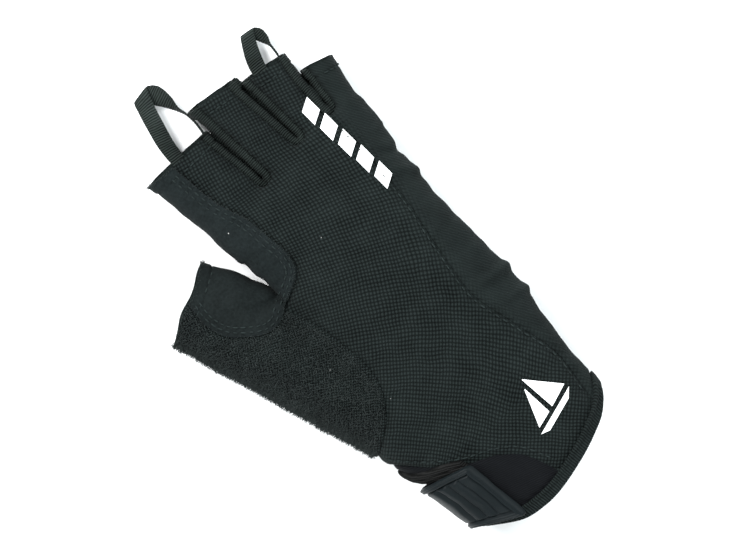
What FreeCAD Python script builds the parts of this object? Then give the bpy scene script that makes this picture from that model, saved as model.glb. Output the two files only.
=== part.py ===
"""Fingerless sailing glove for a right hand, lying palm down, as a parametric FreeCAD document.

Frame, in millimetres: +Y runs from the cuff towards the fingers, +X towards the little finger, +Z up out of
the back of the hand. The origin lies under the middle of the palm, on the plane that the palm pads rest on.

The skin of the glove is a hollow shell: lofts through ellipses give its outside, and the same ellipses less
the cloth's thickness give the space for the hand. Outlines drawn along the seams, extruded upwards, then cut
that shell into the cloth panels that are sewn together. Pads, bindings, prints and the closure lie in layers
on the skin. The rubber tab, pull loops and other small parts are pieces of their own.
"""
import FreeCAD, Part
import Sketcher
import math
import os

doc = FreeCAD.newDocument("SailingGlove")
sheet = doc.addObject("Spreadsheet::Sheet", "Sizes")
VALUES = {}


def size(alias, value):
    """One driving dimension: a row of the sheet, with its alias."""
    row = len(VALUES) + 1
    sheet.set(f"A{row}", alias)
    sheet.set(f"B{row}", str(round(value, 3)))
    sheet.setAlias(f"B{row}", alias)
    VALUES[alias] = float(value)


def place(name, x, y):
    """A point of an outline, as two cells of the sheet."""
    size(f"{name}_across", x)
    size(f"{name}_along", y)
    return name


def bind(thing, **links):
    """Ties properties to formulas of the sheet's aliases; a double underscore stands for a dot."""
    for name, formula in links.items():
        thing.setExpression(name.replace("__", "."), formula)
    return thing


# ------------------------------------------------------------------ driving dimensions
size("cloth", 1.6)              # shell cloth with its lining
size("pad_drop", 1.6)           # how far the palm pads stand below the palm cloth
size("seam_height", 8.0)        # height of the seam between the palm and the panels above it
size("crotch", 47.0)            # where the hand ends and the finger stubs begin
size("root", 38.0)              # where the finger stubs start, inside the hand
size("free_gap", 0.35)          # free gap between bodies that move apart
size("reach", 12.0)             # how far cutting shapes run past what they cut

# Stations of the hand: place along Y, centre along X, half width, half height, height of the centre.
STATIONS = {
    "cuff": (-112.0, 6.5, 31.0, 13.2, 17.0),
    "wrist": (-72.0, 6.2, 35.2, 13.8, 17.4),
    "heel": (-40.0, 8.0, 38.0, 16.0, 16.4),
    "middle": (0.0, 12.5, 34.6, 17.2, 16.8),
    "knuckle": (30.0, 15.9, 35.2, 15.8, 15.0),
    "front": (47.0, 16.0, 36.4, 12.4, 12.6),
}
for station, numbers in STATIONS.items():
    for word, number in zip(("along", "across", "wide", "tall", "high"), numbers):
        size(f"{station}_{word}", number)

# Finger stubs: centre and half width at the root, centre, end and half width at the tip, half height.
FINGERS = {
    "index": (-7.0, 13.0, -8.7, 72.5, 13.2, 10.4),
    "long": (17.0, 8.2, 15.0, 80.0, 9.5, 10.6),
    "ring": (33.9, 6.6, 34.2, 74.0, 8.7, 10.2),
    "little": (47.2, 5.2, 49.9, 62.0, 6.0, 9.0),
}
for finger, numbers in FINGERS.items():
    words = ("root_across", "root_wide", "tip_across", "tip_along", "tip_wide", "tall")
    for word, number in zip(words, numbers):
        size(f"{finger}_{word}", number)
size("gusset_lap", 3.2)         # how far a finger's side wall reaches in over the stub's width

# Thumb: its sections run from the tip of the sleeve to the ball of the thumb.
size("thumb_heading", 25.0)     # the sleeve leans out from +Y, in degrees
THUMB = {
    "sleeve_tip": (-41.5, 34.7, 14.9, 11.0),
    "sleeve_root": (-35.2, 17.2, 14.9, 11.6),
    "ball_top": (-32.4, 11.3, 17.2, 12.5),
    "ball_middle": (-24.0, -8.0, 19.7, 14.3),
    "ball_heel": (-13.0, -38.0, 21.6, 15.6),
}
for part, numbers in THUMB.items():
    for word, number in zip(("across", "along", "wide", "tall"), numbers):
        size(f"{part}_{word}", number)

# Cuff, closure and ribbons.
size("cuff_slant", 13.0)        # the cuff's edge leans this much, in degrees
size("cuff_edge", -98.5)        # where that edge crosses the glove's middle
size("cuff_tape", 6.0)          # width of the binding tape
size("tape_cloth", 0.8)
size("print_film", 0.3)
size("strap_fold_high", 17.2)   # height of the line that the strap folds about
size("loop_pile", 0.8)
size("hook_cloth", 0.8)
size("strap_cloth", 1.4)
size("tab_rubber", 1.6)
size("rib_wide", 1.2)           # grip ribs of the tab
size("ribbon_wide", 5.0)
size("ribbon_cloth", 0.9)
size("ribbon_high", 4.0)        # height of the ribbon where it leaves the finger
size("pad_foam", 1.0)


# ------------------------------------------------------------------ building blocks
def section(name, x, y, z, wide, tall, upright=False, heading=0.0):
    """An ellipse that stands across the hand or a finger. Places and half sizes are formulas."""
    ellipse = doc.addObject("Part::Ellipse", name)
    first, second = (tall, wide) if upright else (wide, tall)
    bind(ellipse, MajorRadius=first, MinorRadius=second)
    stand = FreeCAD.Rotation(FreeCAD.Vector(1, 0, 0), -90)
    quarter = FreeCAD.Rotation(FreeCAD.Vector(0, 0, 1), 90 if upright else 0)
    lean = FreeCAD.Rotation(FreeCAD.Vector(0, 0, 1), heading)
    ellipse.Placement = FreeCAD.Placement(FreeCAD.Vector(), lean * stand * quarter)
    return bind(ellipse, Placement__Base__x=x, Placement__Base__y=y, Placement__Base__z=z)


def loft(name, sections):
    made = doc.addObject("Part::Loft", name)
    made.Sections = sections
    made.Solid = True
    made.Ruled = False
    return made


def box(name, x, y, z, length, width, height, lean=0.0):
    """A block with its low corner at x, y, z, turned about that corner by lean degrees; all are formulas."""
    made = doc.addObject("Part::Box", name)
    bind(made, Length=length, Width=width, Height=height)
    made.Placement.Rotation = FreeCAD.Rotation(FreeCAD.Vector(0, 0, 1), lean)
    return bind(made, Placement__Base__x=x, Placement__Base__y=y, Placement__Base__z=z)


def combined(kind, name, **inputs):
    """A boolean feature. Its faces stay as cut, because merging them breaks the thin shells."""
    made = doc.addObject(kind, name)
    for word, value in inputs.items():
        setattr(made, word, value)
    made.Refine = False
    return made


def fuse(name, *shapes):
    return combined("Part::MultiFuse", name, Shapes=list(shapes))


def cut(name, base, tool):
    return combined("Part::Cut", name, Base=base, Tool=tool)


def common(name, base, tool):
    return combined("Part::Common", name, Base=base, Tool=tool)


def arc_between(start, end, radius, left):
    """A circle's arc between two points, drawn anticlockwise. It bulges to the left of start to end, or right."""
    chord = end.sub(start)
    side = FreeCAD.Vector(-chord.y, chord.x, 0).normalize()
    depth = math.sqrt(radius**2 - (chord.Length / 2) ** 2)
    centre = (start + end) * 0.5 + side * (-depth if left else depth)
    circle = Part.Circle(centre, FreeCAD.Vector(0, 0, 1), radius)
    first, last = (end, start) if left else (start, end)
    turns = [math.atan2(spot.y - centre.y, spot.x - centre.x) for spot in (first, last)]
    if turns[1] < turns[0]:
        turns[1] += 2 * math.pi
    return Part.ArcOfCircle(circle, *turns)


def outline(name, corners, arcs=()):
    """A closed outline through named points, extruded through the whole height of the glove.

    arcs holds (index of the corner it starts from, alias of its radius, whether it bulges to the left).
    """
    sketch = doc.addObject("Sketcher::SketchObject", f"{name}_outline")
    sketch.Placement.Base.z = -VALUES["reach"]
    bends = {start: (alias, left) for start, alias, left in arcs}
    spots = [FreeCAD.Vector(VALUES[f"{c}_across"], VALUES[f"{c}_along"], 0) for c in corners]
    ends = []
    for i, start in enumerate(spots):
        end = spots[(i + 1) % len(spots)]
        if i in bends:
            alias, left = bends[i]
            sketch.addGeometry(arc_between(start, end, VALUES[alias], left))
            ends.append((2, 1) if left else (1, 2))
        else:
            sketch.addGeometry(Part.LineSegment(start, end))
            ends.append((1, 2))
    for i, corner in enumerate(corners):
        after = (i + 1) % len(corners)
        sketch.addConstraint(Sketcher.Constraint("Coincident", i, ends[i][1], after, ends[after][0]))
        for kind, word, value in (("DistanceX", "across", spots[i].x), ("DistanceY", "along", spots[i].y)):
            index = sketch.addConstraint(Sketcher.Constraint(kind, -1, 1, i, ends[i][0], value))
            sketch.setExpression(f"Constraints[{index}]", f"Sizes.{corner}_{word}")
        if i in bends:
            alias = bends[i][0]
            index = sketch.addConstraint(Sketcher.Constraint("Radius", i, VALUES[alias]))
            sketch.setExpression(f"Constraints[{index}]", f"Sizes.{alias}")
    made = doc.addObject("Part::Extrusion", name)
    made.Base = sketch
    made.DirMode = "Custom"
    made.Dir = FreeCAD.Vector(0, 0, 1)
    made.LengthFwd = 5 * VALUES["reach"]
    made.Solid = True
    return made


# ------------------------------------------------------------------ hand, fingers and thumb as full volumes
def hand_loft(name, grow="0"):
    """The hand's volume from past the cuff to the crotches, with its ellipses grown by a formula."""
    rings = []
    for station in STATIONS:
        stop = f" + ({grow})" if station == "front" else ""
        rings.append(section(
            f"{name}_{station}",
            f"Sizes.{station}_across",
            f"Sizes.{station}_along{stop}",
            f"Sizes.{station}_high",
            f"Sizes.{station}_wide + ({grow})",
            f"Sizes.{station}_tall + ({grow})",
        ))
    return loft(name, rings)


def finger_loft(name, finger, grow="0", past="0"):
    """A finger stub's volume, from inside the hand to its tip, or past the tip by a formula."""
    upright = VALUES[f"{finger}_tall"] > VALUES[f"{finger}_tip_wide"]
    tall = f"Sizes.{finger}_tall"
    root = section(
        f"{name}_root", f"Sizes.{finger}_root_across", "Sizes.root", tall,
        f"Sizes.{finger}_root_wide + ({grow})", f"{tall} + ({grow})", upright,
    )
    tip = section(
        f"{name}_tip", f"Sizes.{finger}_tip_across", f"Sizes.{finger}_tip_along + ({past})", tall,
        f"Sizes.{finger}_tip_wide + ({grow})", f"{tall} + ({grow})", upright,
    )
    return loft(name, [root, tip])


def thumb_loft(name, parts, grow="0", past=0.0, back=0.0):
    """Part of the thumb's volume; past and back run its ends on along the thumb, in millimetres."""
    lean = math.radians(VALUES["thumb_heading"])
    rings = []
    for i, part in enumerate(parts):
        run = past if i == 0 else -back if i == len(parts) - 1 else 0.0
        rings.append(section(
            f"{name}_{part}",
            f"Sizes.{part}_across - {run * math.sin(lean):.4f}",
            f"Sizes.{part}_along + {run * math.cos(lean):.4f}",
            f"Sizes.{part}_tall",
            f"Sizes.{part}_wide + ({grow})",
            f"Sizes.{part}_tall + ({grow})",
            heading=VALUES["thumb_heading"],
        ))
    return loft(name, rings)


HUGE = "30 * Sizes.reach"
HALF = "-15 * Sizes.reach"
above_floor = box("above_floor", HALF, HALF, "0", HUGE, HUGE, HUGE)
above_palm = box("above_palm", HALF, HALF, "Sizes.pad_drop", HUGE, HUGE, HUGE)
above_cloth = box("above_cloth", HALF, HALF, "Sizes.pad_drop + Sizes.cloth", HUGE, HUGE, HUGE)
seam_floor = box("seam_floor", HALF, HALF, "-Sizes.reach", HUGE, HUGE, "Sizes.reach + Sizes.seam_height")
crotch_rise = box("crotch_rise", "-17", "5", "0", "5", "8", "Sizes.seam_height + 2")
below_seam = fuse("below_seam", seam_floor, crotch_rise)
above_seam = cut("above_seam", above_floor, below_seam)

lean = math.radians(VALUES["cuff_slant"])
start = FreeCAD.Vector(-8 * VALUES["reach"] * math.cos(lean), VALUES["cuff_edge"] - 8 * VALUES["reach"] * math.sin(lean))
before_cuff = box(
    "before_cuff", f"{start.x:.4f}", f"{start.y:.4f} + Sizes.cuff_tape / cos({math.degrees(lean):.1f})",
    "-Sizes.reach", HUGE, HUGE, HUGE, lean=VALUES["cuff_slant"],
)
cuff_slice = box(
    "cuff_slice", f"{start.x:.4f}", f"{start.y:.4f}", "-Sizes.reach", HUGE,
    "Sizes.cuff_tape", HUGE, lean=VALUES["cuff_slant"],
)

hand_out = hand_loft("hand_out")
hand_in = hand_loft("hand_in", "-Sizes.cloth")
fingers_out = [finger_loft(f"{f}_out", f) for f in FINGERS]
fingers_in = [finger_loft(f"{f}_in", f, "-Sizes.cloth", "Sizes.reach") for f in FINGERS]
BALL = ["ball_top", "ball_middle", "ball_heel"]
SLEEVE = ["sleeve_tip", "sleeve_root"]
ball_out = thumb_loft("ball_out", BALL)
ball_in = thumb_loft("ball_in", BALL, "-Sizes.cloth", past=3.0, back=-VALUES["cloth"])
sleeve_out = thumb_loft("sleeve_out", SLEEVE)
sleeve_in = thumb_loft("sleeve_in", SLEEVE, "-Sizes.cloth", past=6.0, back=6.0)

body_out = common("body_out", fuse("body_volume", hand_out, ball_out, *fingers_out), above_palm)
body_in = common("body_in", fuse("hand_space", hand_in, ball_in, *fingers_in), above_cloth)
skin = common("skin", cut("whole_skin", body_out, body_in), before_cuff)
sleeve = cut("sleeve", common("sleeve_solid", sleeve_out, above_palm), common("thumb_space", sleeve_in, above_cloth))

# ------------------------------------------------------------------ seams, as outlines seen from above
place("side_front", 41.5, 49.0)
place("side_waist", 30.0, -34.0)
place("side_cuff", 35.0, -88.0)
place("outside_cuff", 72.0, -88.0)
place("outside_tip", 72.0, 92.0)
place("side_tip", 41.5, 92.0)
size("side_high", 16.0)         # below this height the little finger's side is all side panel
size("side_bow", 325.0)
size("side_hook", 75.0)
side_region = outline(
    "side_region",
    ["side_tip", "side_front", "side_waist", "side_cuff", "outside_cuff", "outside_tip"],
    [(1, "side_bow", True), (2, "side_hook", True)],
)
outer_side = box(
    "outer_side", "Sizes.wrist_across + 4", HALF, "-Sizes.reach", HUGE, "15 * Sizes.reach + Sizes.crotch - 4",
    "Sizes.reach + Sizes.side_high",
)
whole_side = fuse("whole_side", side_region, outer_side)

place("wrap_tip", -11.5, 92.0)
place("wrap_knuckle", -4.7, 24.0)
place("wrap_turn", -14.0, 12.0)
place("wrap_thumb", -60.0, 2.0)
place("wrap_outside", -60.0, 92.0)
size("wrap_bow", 400.0)
size("wrap_hook", 9.4)
wrap_region = outline(
    "wrap_region",
    ["wrap_tip", "wrap_knuckle", "wrap_turn", "wrap_thumb", "wrap_outside"],
    [(0, "wrap_bow", True), (1, "wrap_hook", True)],
)

place("thenar_top", -14.0, 12.0)
place("thenar_end", -30.0, -49.0)
place("thenar_outside_end", -70.0, -49.0)
place("thenar_outside_top", -70.0, 9.5)
size("thenar_bow", 48.0)
thenar_region = outline(
    "thenar_region",
    ["thenar_top", "thenar_end", "thenar_outside_end", "thenar_outside_top"],
    [(0, "thenar_bow", True)],
)

place("wrist_start", -36.0, -52.0)
place("wrist_end", 9.5, -99.0)
place("wrist_below", 9.5, -125.0)
place("wrist_outside", -60.0, -125.0)
place("wrist_outside_top", -60.0, -52.0)
size("wrist_bow", 130.0)
wrist_region = outline(
    "wrist_region",
    ["wrist_start", "wrist_end", "wrist_below", "wrist_outside", "wrist_outside_top"],
    [(0, "wrist_bow", True)],
)


def slit_region(name, left, right):
    """The strip between two finger stubs that holds their facing side walls and the web between them."""
    lap = VALUES["gusset_lap"]
    thin = min(lap, 0.42 * VALUES[f"{right}_root_wide"])
    back = VALUES["crotch"] - 6.0
    front = 92.0
    left_root = VALUES[f"{left}_root_across"] + VALUES[f"{left}_root_wide"] - lap
    left_tip = VALUES[f"{left}_tip_across"] + VALUES[f"{left}_tip_wide"] - lap
    right_root = VALUES[f"{right}_root_across"] - VALUES[f"{right}_root_wide"] + thin
    right_tip = VALUES[f"{right}_tip_across"] - VALUES[f"{right}_tip_wide"] + thin
    corners = [
        place(f"{name}_back_left", left_root, back),
        place(f"{name}_back_right", right_root, back),
        place(f"{name}_front_right", right_tip, front),
        place(f"{name}_front_left", left_tip, front),
    ]
    return outline(f"{name}_region", corners)


SLITS = {
    "gusset_index_middle": ("index", "long"),
    "gusset_middle_ring": ("long", "ring"),
    "gusset_ring_little": ("ring", "little"),
}
slits = {name: slit_region(name, *pair) for name, pair in SLITS.items()}
all_slits = fuse("all_slits", *slits.values())

# ------------------------------------------------------------------ cloth panels of the skin
nodes = []


def keep(label, made):
    """Gives a finished sub-part its label, which names its file."""
    made.Label = label
    nodes.append(made)
    return made


for name, region in slits.items():
    keep(name, common(f"{name}_cloth", skin, region))

upper = cut("upper_skin", common("skin_above_seam", skin, above_seam), all_slits)
lower = cut("lower_skin", common("skin_below_seam", skin, below_seam), all_slits)
keep("palm_panel", cut("palm_cloth", lower, thenar_region))
keep("thumb_ball_palm", common("ball_cloth", lower, thenar_region))
keep("side_panel", common("side_cloth", upper, whole_side))
inner_skin = cut("inner_skin", upper, whole_side)
keep("wrist_gusset", common("wrist_cloth", inner_skin, wrist_region))
inner_upper = cut("inner_upper", inner_skin, wrist_region)
keep("thumb_ball_panel", common("thenar_cloth", inner_upper, thenar_region))
front_upper = cut("front_upper", inner_upper, thenar_region)
keep("index_side_panel", common("wrap_cloth", front_upper, wrap_region))
keep("back_panel", cut("back_cloth", front_upper, wrap_region))

# ------------------------------------------------------------------ thumb sleeve, which swings
place("patch_tip", -45.0, 42.0)
place("patch_root", -32.0, 2.0)
place("patch_inner_root", 10.0, 2.0)
place("patch_inner_tip", 10.0, 60.0)
patch_region = outline("patch_region", ["patch_tip", "patch_root", "patch_inner_root", "patch_inner_tip"])
sleeve_upper = common("sleeve_above_seam", sleeve, above_seam)
keep("thumb_back", cut("thumb_terry", sleeve_upper, patch_region))
keep("thumb_patch", common("thumb_suede", sleeve_upper, patch_region))
keep("thumb_palm", common("thumb_palm_cloth", sleeve, below_seam))

# ------------------------------------------------------------------ layers that lie on the skin
heights = {
    "skin": "0",
    "film": "Sizes.print_film",
    "tape": "Sizes.tape_cloth",
    "foam": "Sizes.pad_foam",
    "pad": "Sizes.pad_drop",
    "pile": "Sizes.loop_pile",
    "gap": "Sizes.loop_pile + Sizes.free_gap",
    "hook": "Sizes.loop_pile + Sizes.free_gap + Sizes.hook_cloth",
    "strap": "Sizes.loop_pile + Sizes.free_gap + Sizes.hook_cloth + Sizes.strap_cloth",
}
heights["groove"] = heights["strap"] + " + Sizes.tab_rubber / 2"
heights["tab"] = heights["strap"] + " + Sizes.tab_rubber"
hands = {word: hand_loft(f"hand_{word}", grow) for word, grow in heights.items() if word != "skin"}
hands["skin"] = hand_out


def layer(name, low, high):
    """The shell between two heights over the skin of the hand."""
    return cut(name, hands[high], hands[low])


cuff_binding = keep("cuff_binding", common("cuff_tape_ring", cut("cuff_ring", hands["tape"], hand_in), cuff_slice))

above_side = box("above_side", HALF, HALF, "Sizes.side_high + 4", HUGE, HUGE, HUGE)
film = common("upper_film", layer("film_layer", "skin", "film"), above_side)
BARS = 5
BAR_PITCH = 6.7
BAR_LONG = 4.4
BAR_WIDE = 5.6
BAR_RISE = 2.2
bars = []
for i in range(BARS):
    low = 13.0 + i * BAR_PITCH
    left = 33.4 - 0.25 * i
    corners = [
        place(f"bar{i}_heel", left, low),
        place(f"bar{i}_toe", left + BAR_WIDE, low + BAR_RISE),
        place(f"bar{i}_crown", left + BAR_WIDE, low + BAR_RISE + BAR_LONG),
        place(f"bar{i}_brow", left, low + BAR_LONG),
    ]
    bars.append(outline(f"bar{i}", corners))
keep("print_bars", common("bar_films", film, fuse("bar_regions", *bars)))

place("main_sail_foot", 23.0, -79.5)
place("main_sail_clew", 31.5, -77.0)
place("main_sail_head", 22.0, -65.5)
place("fore_sail_foot", 21.0, -80.0)
place("fore_sail_head", 20.4, -68.5)
place("fore_sail_tack", 14.6, -81.6)
place("hull_bow", 13.4, -83.6)
place("hull_stern", 32.0, -78.8)
place("hull_keel", 29.0, -81.6)
place("hull_stem", 16.6, -84.8)
sails = fuse(
    "sail_regions",
    outline("main_sail", ["main_sail_foot", "main_sail_clew", "main_sail_head"]),
    outline("fore_sail", ["fore_sail_foot", "fore_sail_head", "fore_sail_tack"]),
    outline("hull", ["hull_bow", "hull_stern", "hull_keel", "hull_stem"]),
)
keep("print_sail", common("sail_films", film, sails))


def rounded(name, x0, y0, x1, y1, radius):
    """A rectangle's outline with rounded corners."""
    size(f"{name}_corner", radius)
    spots = [
        (x0 + radius, y0), (x1 - radius, y0), (x1, y0 + radius), (x1, y1 - radius),
        (x1 - radius, y1), (x0 + radius, y1), (x0, y1 - radius), (x0, y0 + radius),
    ]
    corners = [place(f"{name}_spot{i}", x, y) for i, (x, y) in enumerate(spots)]
    return outline(name, corners, [(i, f"{name}_corner", False) for i in (1, 3, 5, 7)])


# ------------------------------------------------------------------ palm pads: a suede cover over a foam core
pad_shell = common("pad_shell", common("pad_shell_above", hands["pad"], above_floor), below_seam)
pad_layer = cut("pad_layer", pad_shell, body_out)
core_floor = box("core_floor", HALF, HALF, "Sizes.pad_drop - Sizes.pad_foam", HUGE, HUGE, HUGE)
core_shell = common("core_shell", common("core_shell_above", hands["foam"], core_floor), below_seam)
core_layer = cut("core_layer", core_shell, body_out)
PADS = {
    "palm_pad": (-14.0, -8.0, 34.0, 14.0, 7.0),
    "knuckle_pad": (-8.0, 20.0, 40.0, 40.0, 7.0),
    "heel_pad_outer": (10.0, -52.0, 38.0, -12.0, 9.0),
    "heel_pad_inner": (-20.0, -52.0, 4.0, -16.0, 9.0),
}
EDGE = 2.5
for name, (x0, y0, x1, y1, radius) in PADS.items():
    cover_region = rounded(f"{name}_cover", x0, y0, x1, y1, radius)
    core_region = rounded(f"{name}_core", x0 + EDGE, y0 + EDGE, x1 - EDGE, y1 - EDGE, radius - EDGE)
    core = keep(f"{name}_foam", common(f"{name}_core_block", core_layer, core_region))
    keep(name, cut(f"{name}_suede", common(f"{name}_block", pad_layer, cover_region), core))

# ------------------------------------------------------------------ wrist closure
def slanted(name, inset, fold_side, end_side):
    """The strap's outline: its long edges slope back towards the cuff, and its end is square to the hand."""
    top, bottom = -66.5, -91.5
    slope = -0.42
    fold = -30.0
    return outline(name, [
        place(f"{name}_fold_top", fold_side, top - inset + slope * (fold_side - fold)),
        place(f"{name}_end_top", end_side, top - inset + slope * (end_side - fold)),
        place(f"{name}_end_bottom", end_side, bottom + inset + slope * (end_side - fold)),
        place(f"{name}_fold_bottom", fold_side, bottom + inset + slope * (fold_side - fold)),
    ])


above_fold = box("above_fold", HALF, HALF, "Sizes.strap_fold_high + 1", HUGE, HUGE, HUGE)
above_tab_edge = box("above_tab_edge", HALF, HALF, "Sizes.strap_fold_high + 3", HUGE, HUGE, HUGE)
below_fold = box("below_fold", HALF, HALF, "-Sizes.reach", HUGE, HUGE, "Sizes.reach + Sizes.strap_fold_high - 2")
OUTSIDE = -50.0

place("slit_top", -33.5, -53.5)
place("slit_top_in", -28.6, -51.5)
place("slit_end_in", -17.0, -68.5)
place("slit_end", -24.0, -69.5)
slit_tape = outline("slit_tape", ["slit_top", "slit_top_in", "slit_end_in", "slit_end"])
tape_upper = common("tape_upper", layer("tape_layer", "skin", "tape"), above_seam)
slit_binding = keep("slit_binding", common("slit_binding_cloth", tape_upper, slit_tape))
edge_tapes = fuse("edge_tapes", slit_binding, cuff_binding)

pile_block = common("pile_block", layer("pile_layer", "skin", "pile"), slanted("pile_shape", 1.0, -27.0, -12.5))
keep("loop_patch", cut("loop_patch_cloth", common("upper_pile", pile_block, above_tab_edge), edge_tapes))
hook_block = common("hook_block", layer("hook_layer", "gap", "hook"), slanted("hook_shape", 1.5, -26.0, -14.5))
keep("hook_patch", common("hook_patch_cloth", hook_block, above_tab_edge))
strap_shell = common("strap_shell", layer("strap_layer", "hook", "strap"), slanted("strap_shape", 0.0, OUTSIDE, -12.0))
keep("closure_strap", common("strap_flap_cloth", strap_shell, above_fold))
base_shell = common("base_shell", layer("strap_base_layer", "skin", "strap"), slanted("base_shape", 0.0, OUTSIDE, -14.0))
keep("strap_base", cut("strap_base_cloth", common("lower_base", base_shell, below_fold), edge_tapes))

tab_shell = common("tab_shell", layer("tab_layer", "strap", "tab"), slanted("tab_shape", -0.6, OUTSIDE, -11.5))
tab_block = common("tab_block", tab_shell, above_tab_edge)
recess = slanted("recess_shape", 2.5, -29.0, -14.0)
ribs = [slanted(f"rib{i}", 1.0, x, x + VALUES["rib_wide"]) for i, x in enumerate((-27.4, -24.6, -21.8, -19.0))]
hollow = cut("recess_with_ribs", recess, fuse("all_ribs", *ribs))
keep("pull_tab", cut("tab_ribbed", tab_block, common("recess_cut", layer("recess_layer", "groove", "tab"), hollow)))


# ------------------------------------------------------------------ pull loops, as bodies with a sketch and a pad
def pull_loop(label, finger, left, right, apex):
    """A ribbon loop that leaves the mouth of a finger: a U with legs at left and right, apex long."""
    body = doc.addObject("PartDesign::Body", f"{label}_body")
    sketch = body.newObject("Sketcher::SketchObject", f"{label}_sketch")
    plane = next(f for f in body.Origin.OriginFeatures if f.Role == "XY_Plane")
    sketch.AttachmentSupport = [(plane, "")]
    sketch.MapMode = "FlatFace"
    wide = VALUES["ribbon_wide"]
    low = VALUES[f"{finger}_tip_along"] + 1.6
    radius = (right - left) / 2 + wide / 2
    inner = radius - wide
    middle = (left + right) / 2
    high = low + apex - radius
    vector = FreeCAD.Vector
    curves = [
        Part.LineSegment(vector(middle - radius, low, 0), vector(middle - radius, high, 0)),
        Part.Arc(vector(middle - radius, high, 0), vector(middle, high + radius, 0), vector(middle + radius, high, 0)),
        Part.LineSegment(vector(middle + radius, high, 0), vector(middle + radius, low, 0)),
        Part.LineSegment(vector(middle + radius, low, 0), vector(middle + inner, low, 0)),
        Part.LineSegment(vector(middle + inner, low, 0), vector(middle + inner, high, 0)),
        Part.Arc(vector(middle + inner, high, 0), vector(middle, high + inner, 0), vector(middle - inner, high, 0)),
        Part.LineSegment(vector(middle - inner, high, 0), vector(middle - inner, low, 0)),
        Part.LineSegment(vector(middle - inner, low, 0), vector(middle - radius, low, 0)),
    ]
    for curve in curves:
        sketch.addGeometry(curve)
    pad = body.newObject("PartDesign::Pad", f"{label}_pad")
    pad.Profile = sketch
    bind(pad, Length="Sizes.ribbon_cloth")
    bind(body, Placement__Base__z="Sizes.ribbon_high")
    body.Tip = pad
    return keep(label, body)


pull_loop("pull_loop_index", "index", -9.0, 2.6, 25.9)
pull_loop("pull_loop_ring", "ring", 31.4, 41.0, 14.1)

# ------------------------------------------------------------------ build, check and write
doc.recompute()
failed = [o.Name for o in doc.Objects if {"Invalid", "Error"} & set(o.State)]
if failed:
    raise RuntimeError(f"these objects failed: {failed}")
os.makedirs("parts", exist_ok=True)
for name in os.listdir("parts"):
    os.remove(os.path.join("parts", name))
for made in nodes:
    shape = made.Shape
    if shape.isNull() or not shape.isValid() or not shape.Solids:
        raise RuntimeError(f"{made.Label} has no valid solid")
    shape.exportStep(f"parts/{made.Label}.step")
    print(f"{made.Label:22s} {len(shape.Solids)} solids {shape.Volume / 1000:8.2f} cm3")
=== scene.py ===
# %% [markdown]
# # A fingerless sailing glove
# The glove lies palm down. Cloth panels are sewn into a hollow shell, so the lesson makes the outside of
# the hand once, as a field of distances, and cuts panels out of it along the seams. Neighbouring panels
# then share every point of their seam. Smaller parts are grids of points laid on that shell, and the palm
# pads are cast from fields of their own.
# %% Tools and the fixed frame
import math

import bpy
import numpy as np
import openvdb
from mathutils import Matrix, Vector, kdtree


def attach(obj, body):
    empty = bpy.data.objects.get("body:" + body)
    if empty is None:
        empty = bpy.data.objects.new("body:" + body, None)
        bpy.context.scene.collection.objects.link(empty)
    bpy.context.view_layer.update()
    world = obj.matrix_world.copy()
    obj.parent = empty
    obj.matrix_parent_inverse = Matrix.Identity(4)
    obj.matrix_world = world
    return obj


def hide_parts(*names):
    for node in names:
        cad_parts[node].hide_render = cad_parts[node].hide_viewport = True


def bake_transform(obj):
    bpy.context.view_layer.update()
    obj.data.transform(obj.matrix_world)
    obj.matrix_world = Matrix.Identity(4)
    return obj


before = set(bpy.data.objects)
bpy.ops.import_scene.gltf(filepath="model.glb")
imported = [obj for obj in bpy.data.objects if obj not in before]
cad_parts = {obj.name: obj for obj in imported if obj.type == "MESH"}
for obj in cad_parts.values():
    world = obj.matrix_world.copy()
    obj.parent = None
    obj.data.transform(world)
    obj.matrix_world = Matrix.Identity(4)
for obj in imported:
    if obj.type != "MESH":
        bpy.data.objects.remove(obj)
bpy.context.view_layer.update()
MM = 0.001                      # lengths below are in millimetres


# %% [markdown]
# ## Curves and fields
# A field gives, at any point, roughly how far that point is outside a surface. Fields are easy to join
# softly, the way cloth runs from a finger into the back of a hand, which is hard to do by moving vertices.
# A smooth curve through a few known widths keeps the outline free of corners.
# %% Helpers for curves
def through(knots, values):
    """A smooth curve through values at rising knots, running straight on past both ends."""
    knots, values = np.array(knots, float), np.array(values, float)
    slopes = np.gradient(values, knots)

    def at(x):
        i = np.clip(np.searchsorted(knots, x) - 1, 0, len(knots) - 2)
        gap = knots[i + 1] - knots[i]
        t = (x - knots[i]) / gap
        c = np.clip(t, 0, 1)
        rise, fall = slopes[i] * gap, slopes[i + 1] * gap
        inside = values[i] * (1 + c * c * (2 * c - 3)) + rise * c * (1 + c * (c - 2))
        inside = inside + values[i + 1] * c * c * (3 - 2 * c) + fall * c * c * (c - 1)
        return inside + np.minimum(t, 0) * rise + np.maximum(t - 1, 0) * fall
    return at


def smooth_path(points, step):
    """Points at an even step along a smooth curve through the given points."""
    points = np.array(points, float)
    knots = np.r_[0, np.cumsum(np.linalg.norm(np.diff(points, axis=0), axis=1))]
    fine = np.linspace(0, knots[-1], max(8, int(knots[-1] / 0.25)))
    line = np.stack([through(knots, points[:, k])(fine) for k in range(points.shape[1])], 1)
    run = np.r_[0, np.cumsum(np.linalg.norm(np.diff(line, axis=0), axis=1))]
    even = np.linspace(0, run[-1], max(2, int(round(run[-1] / step)) + 1))
    return np.stack([np.interp(even, run, line[:, k]) for k in range(points.shape[1])], 1)


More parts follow.
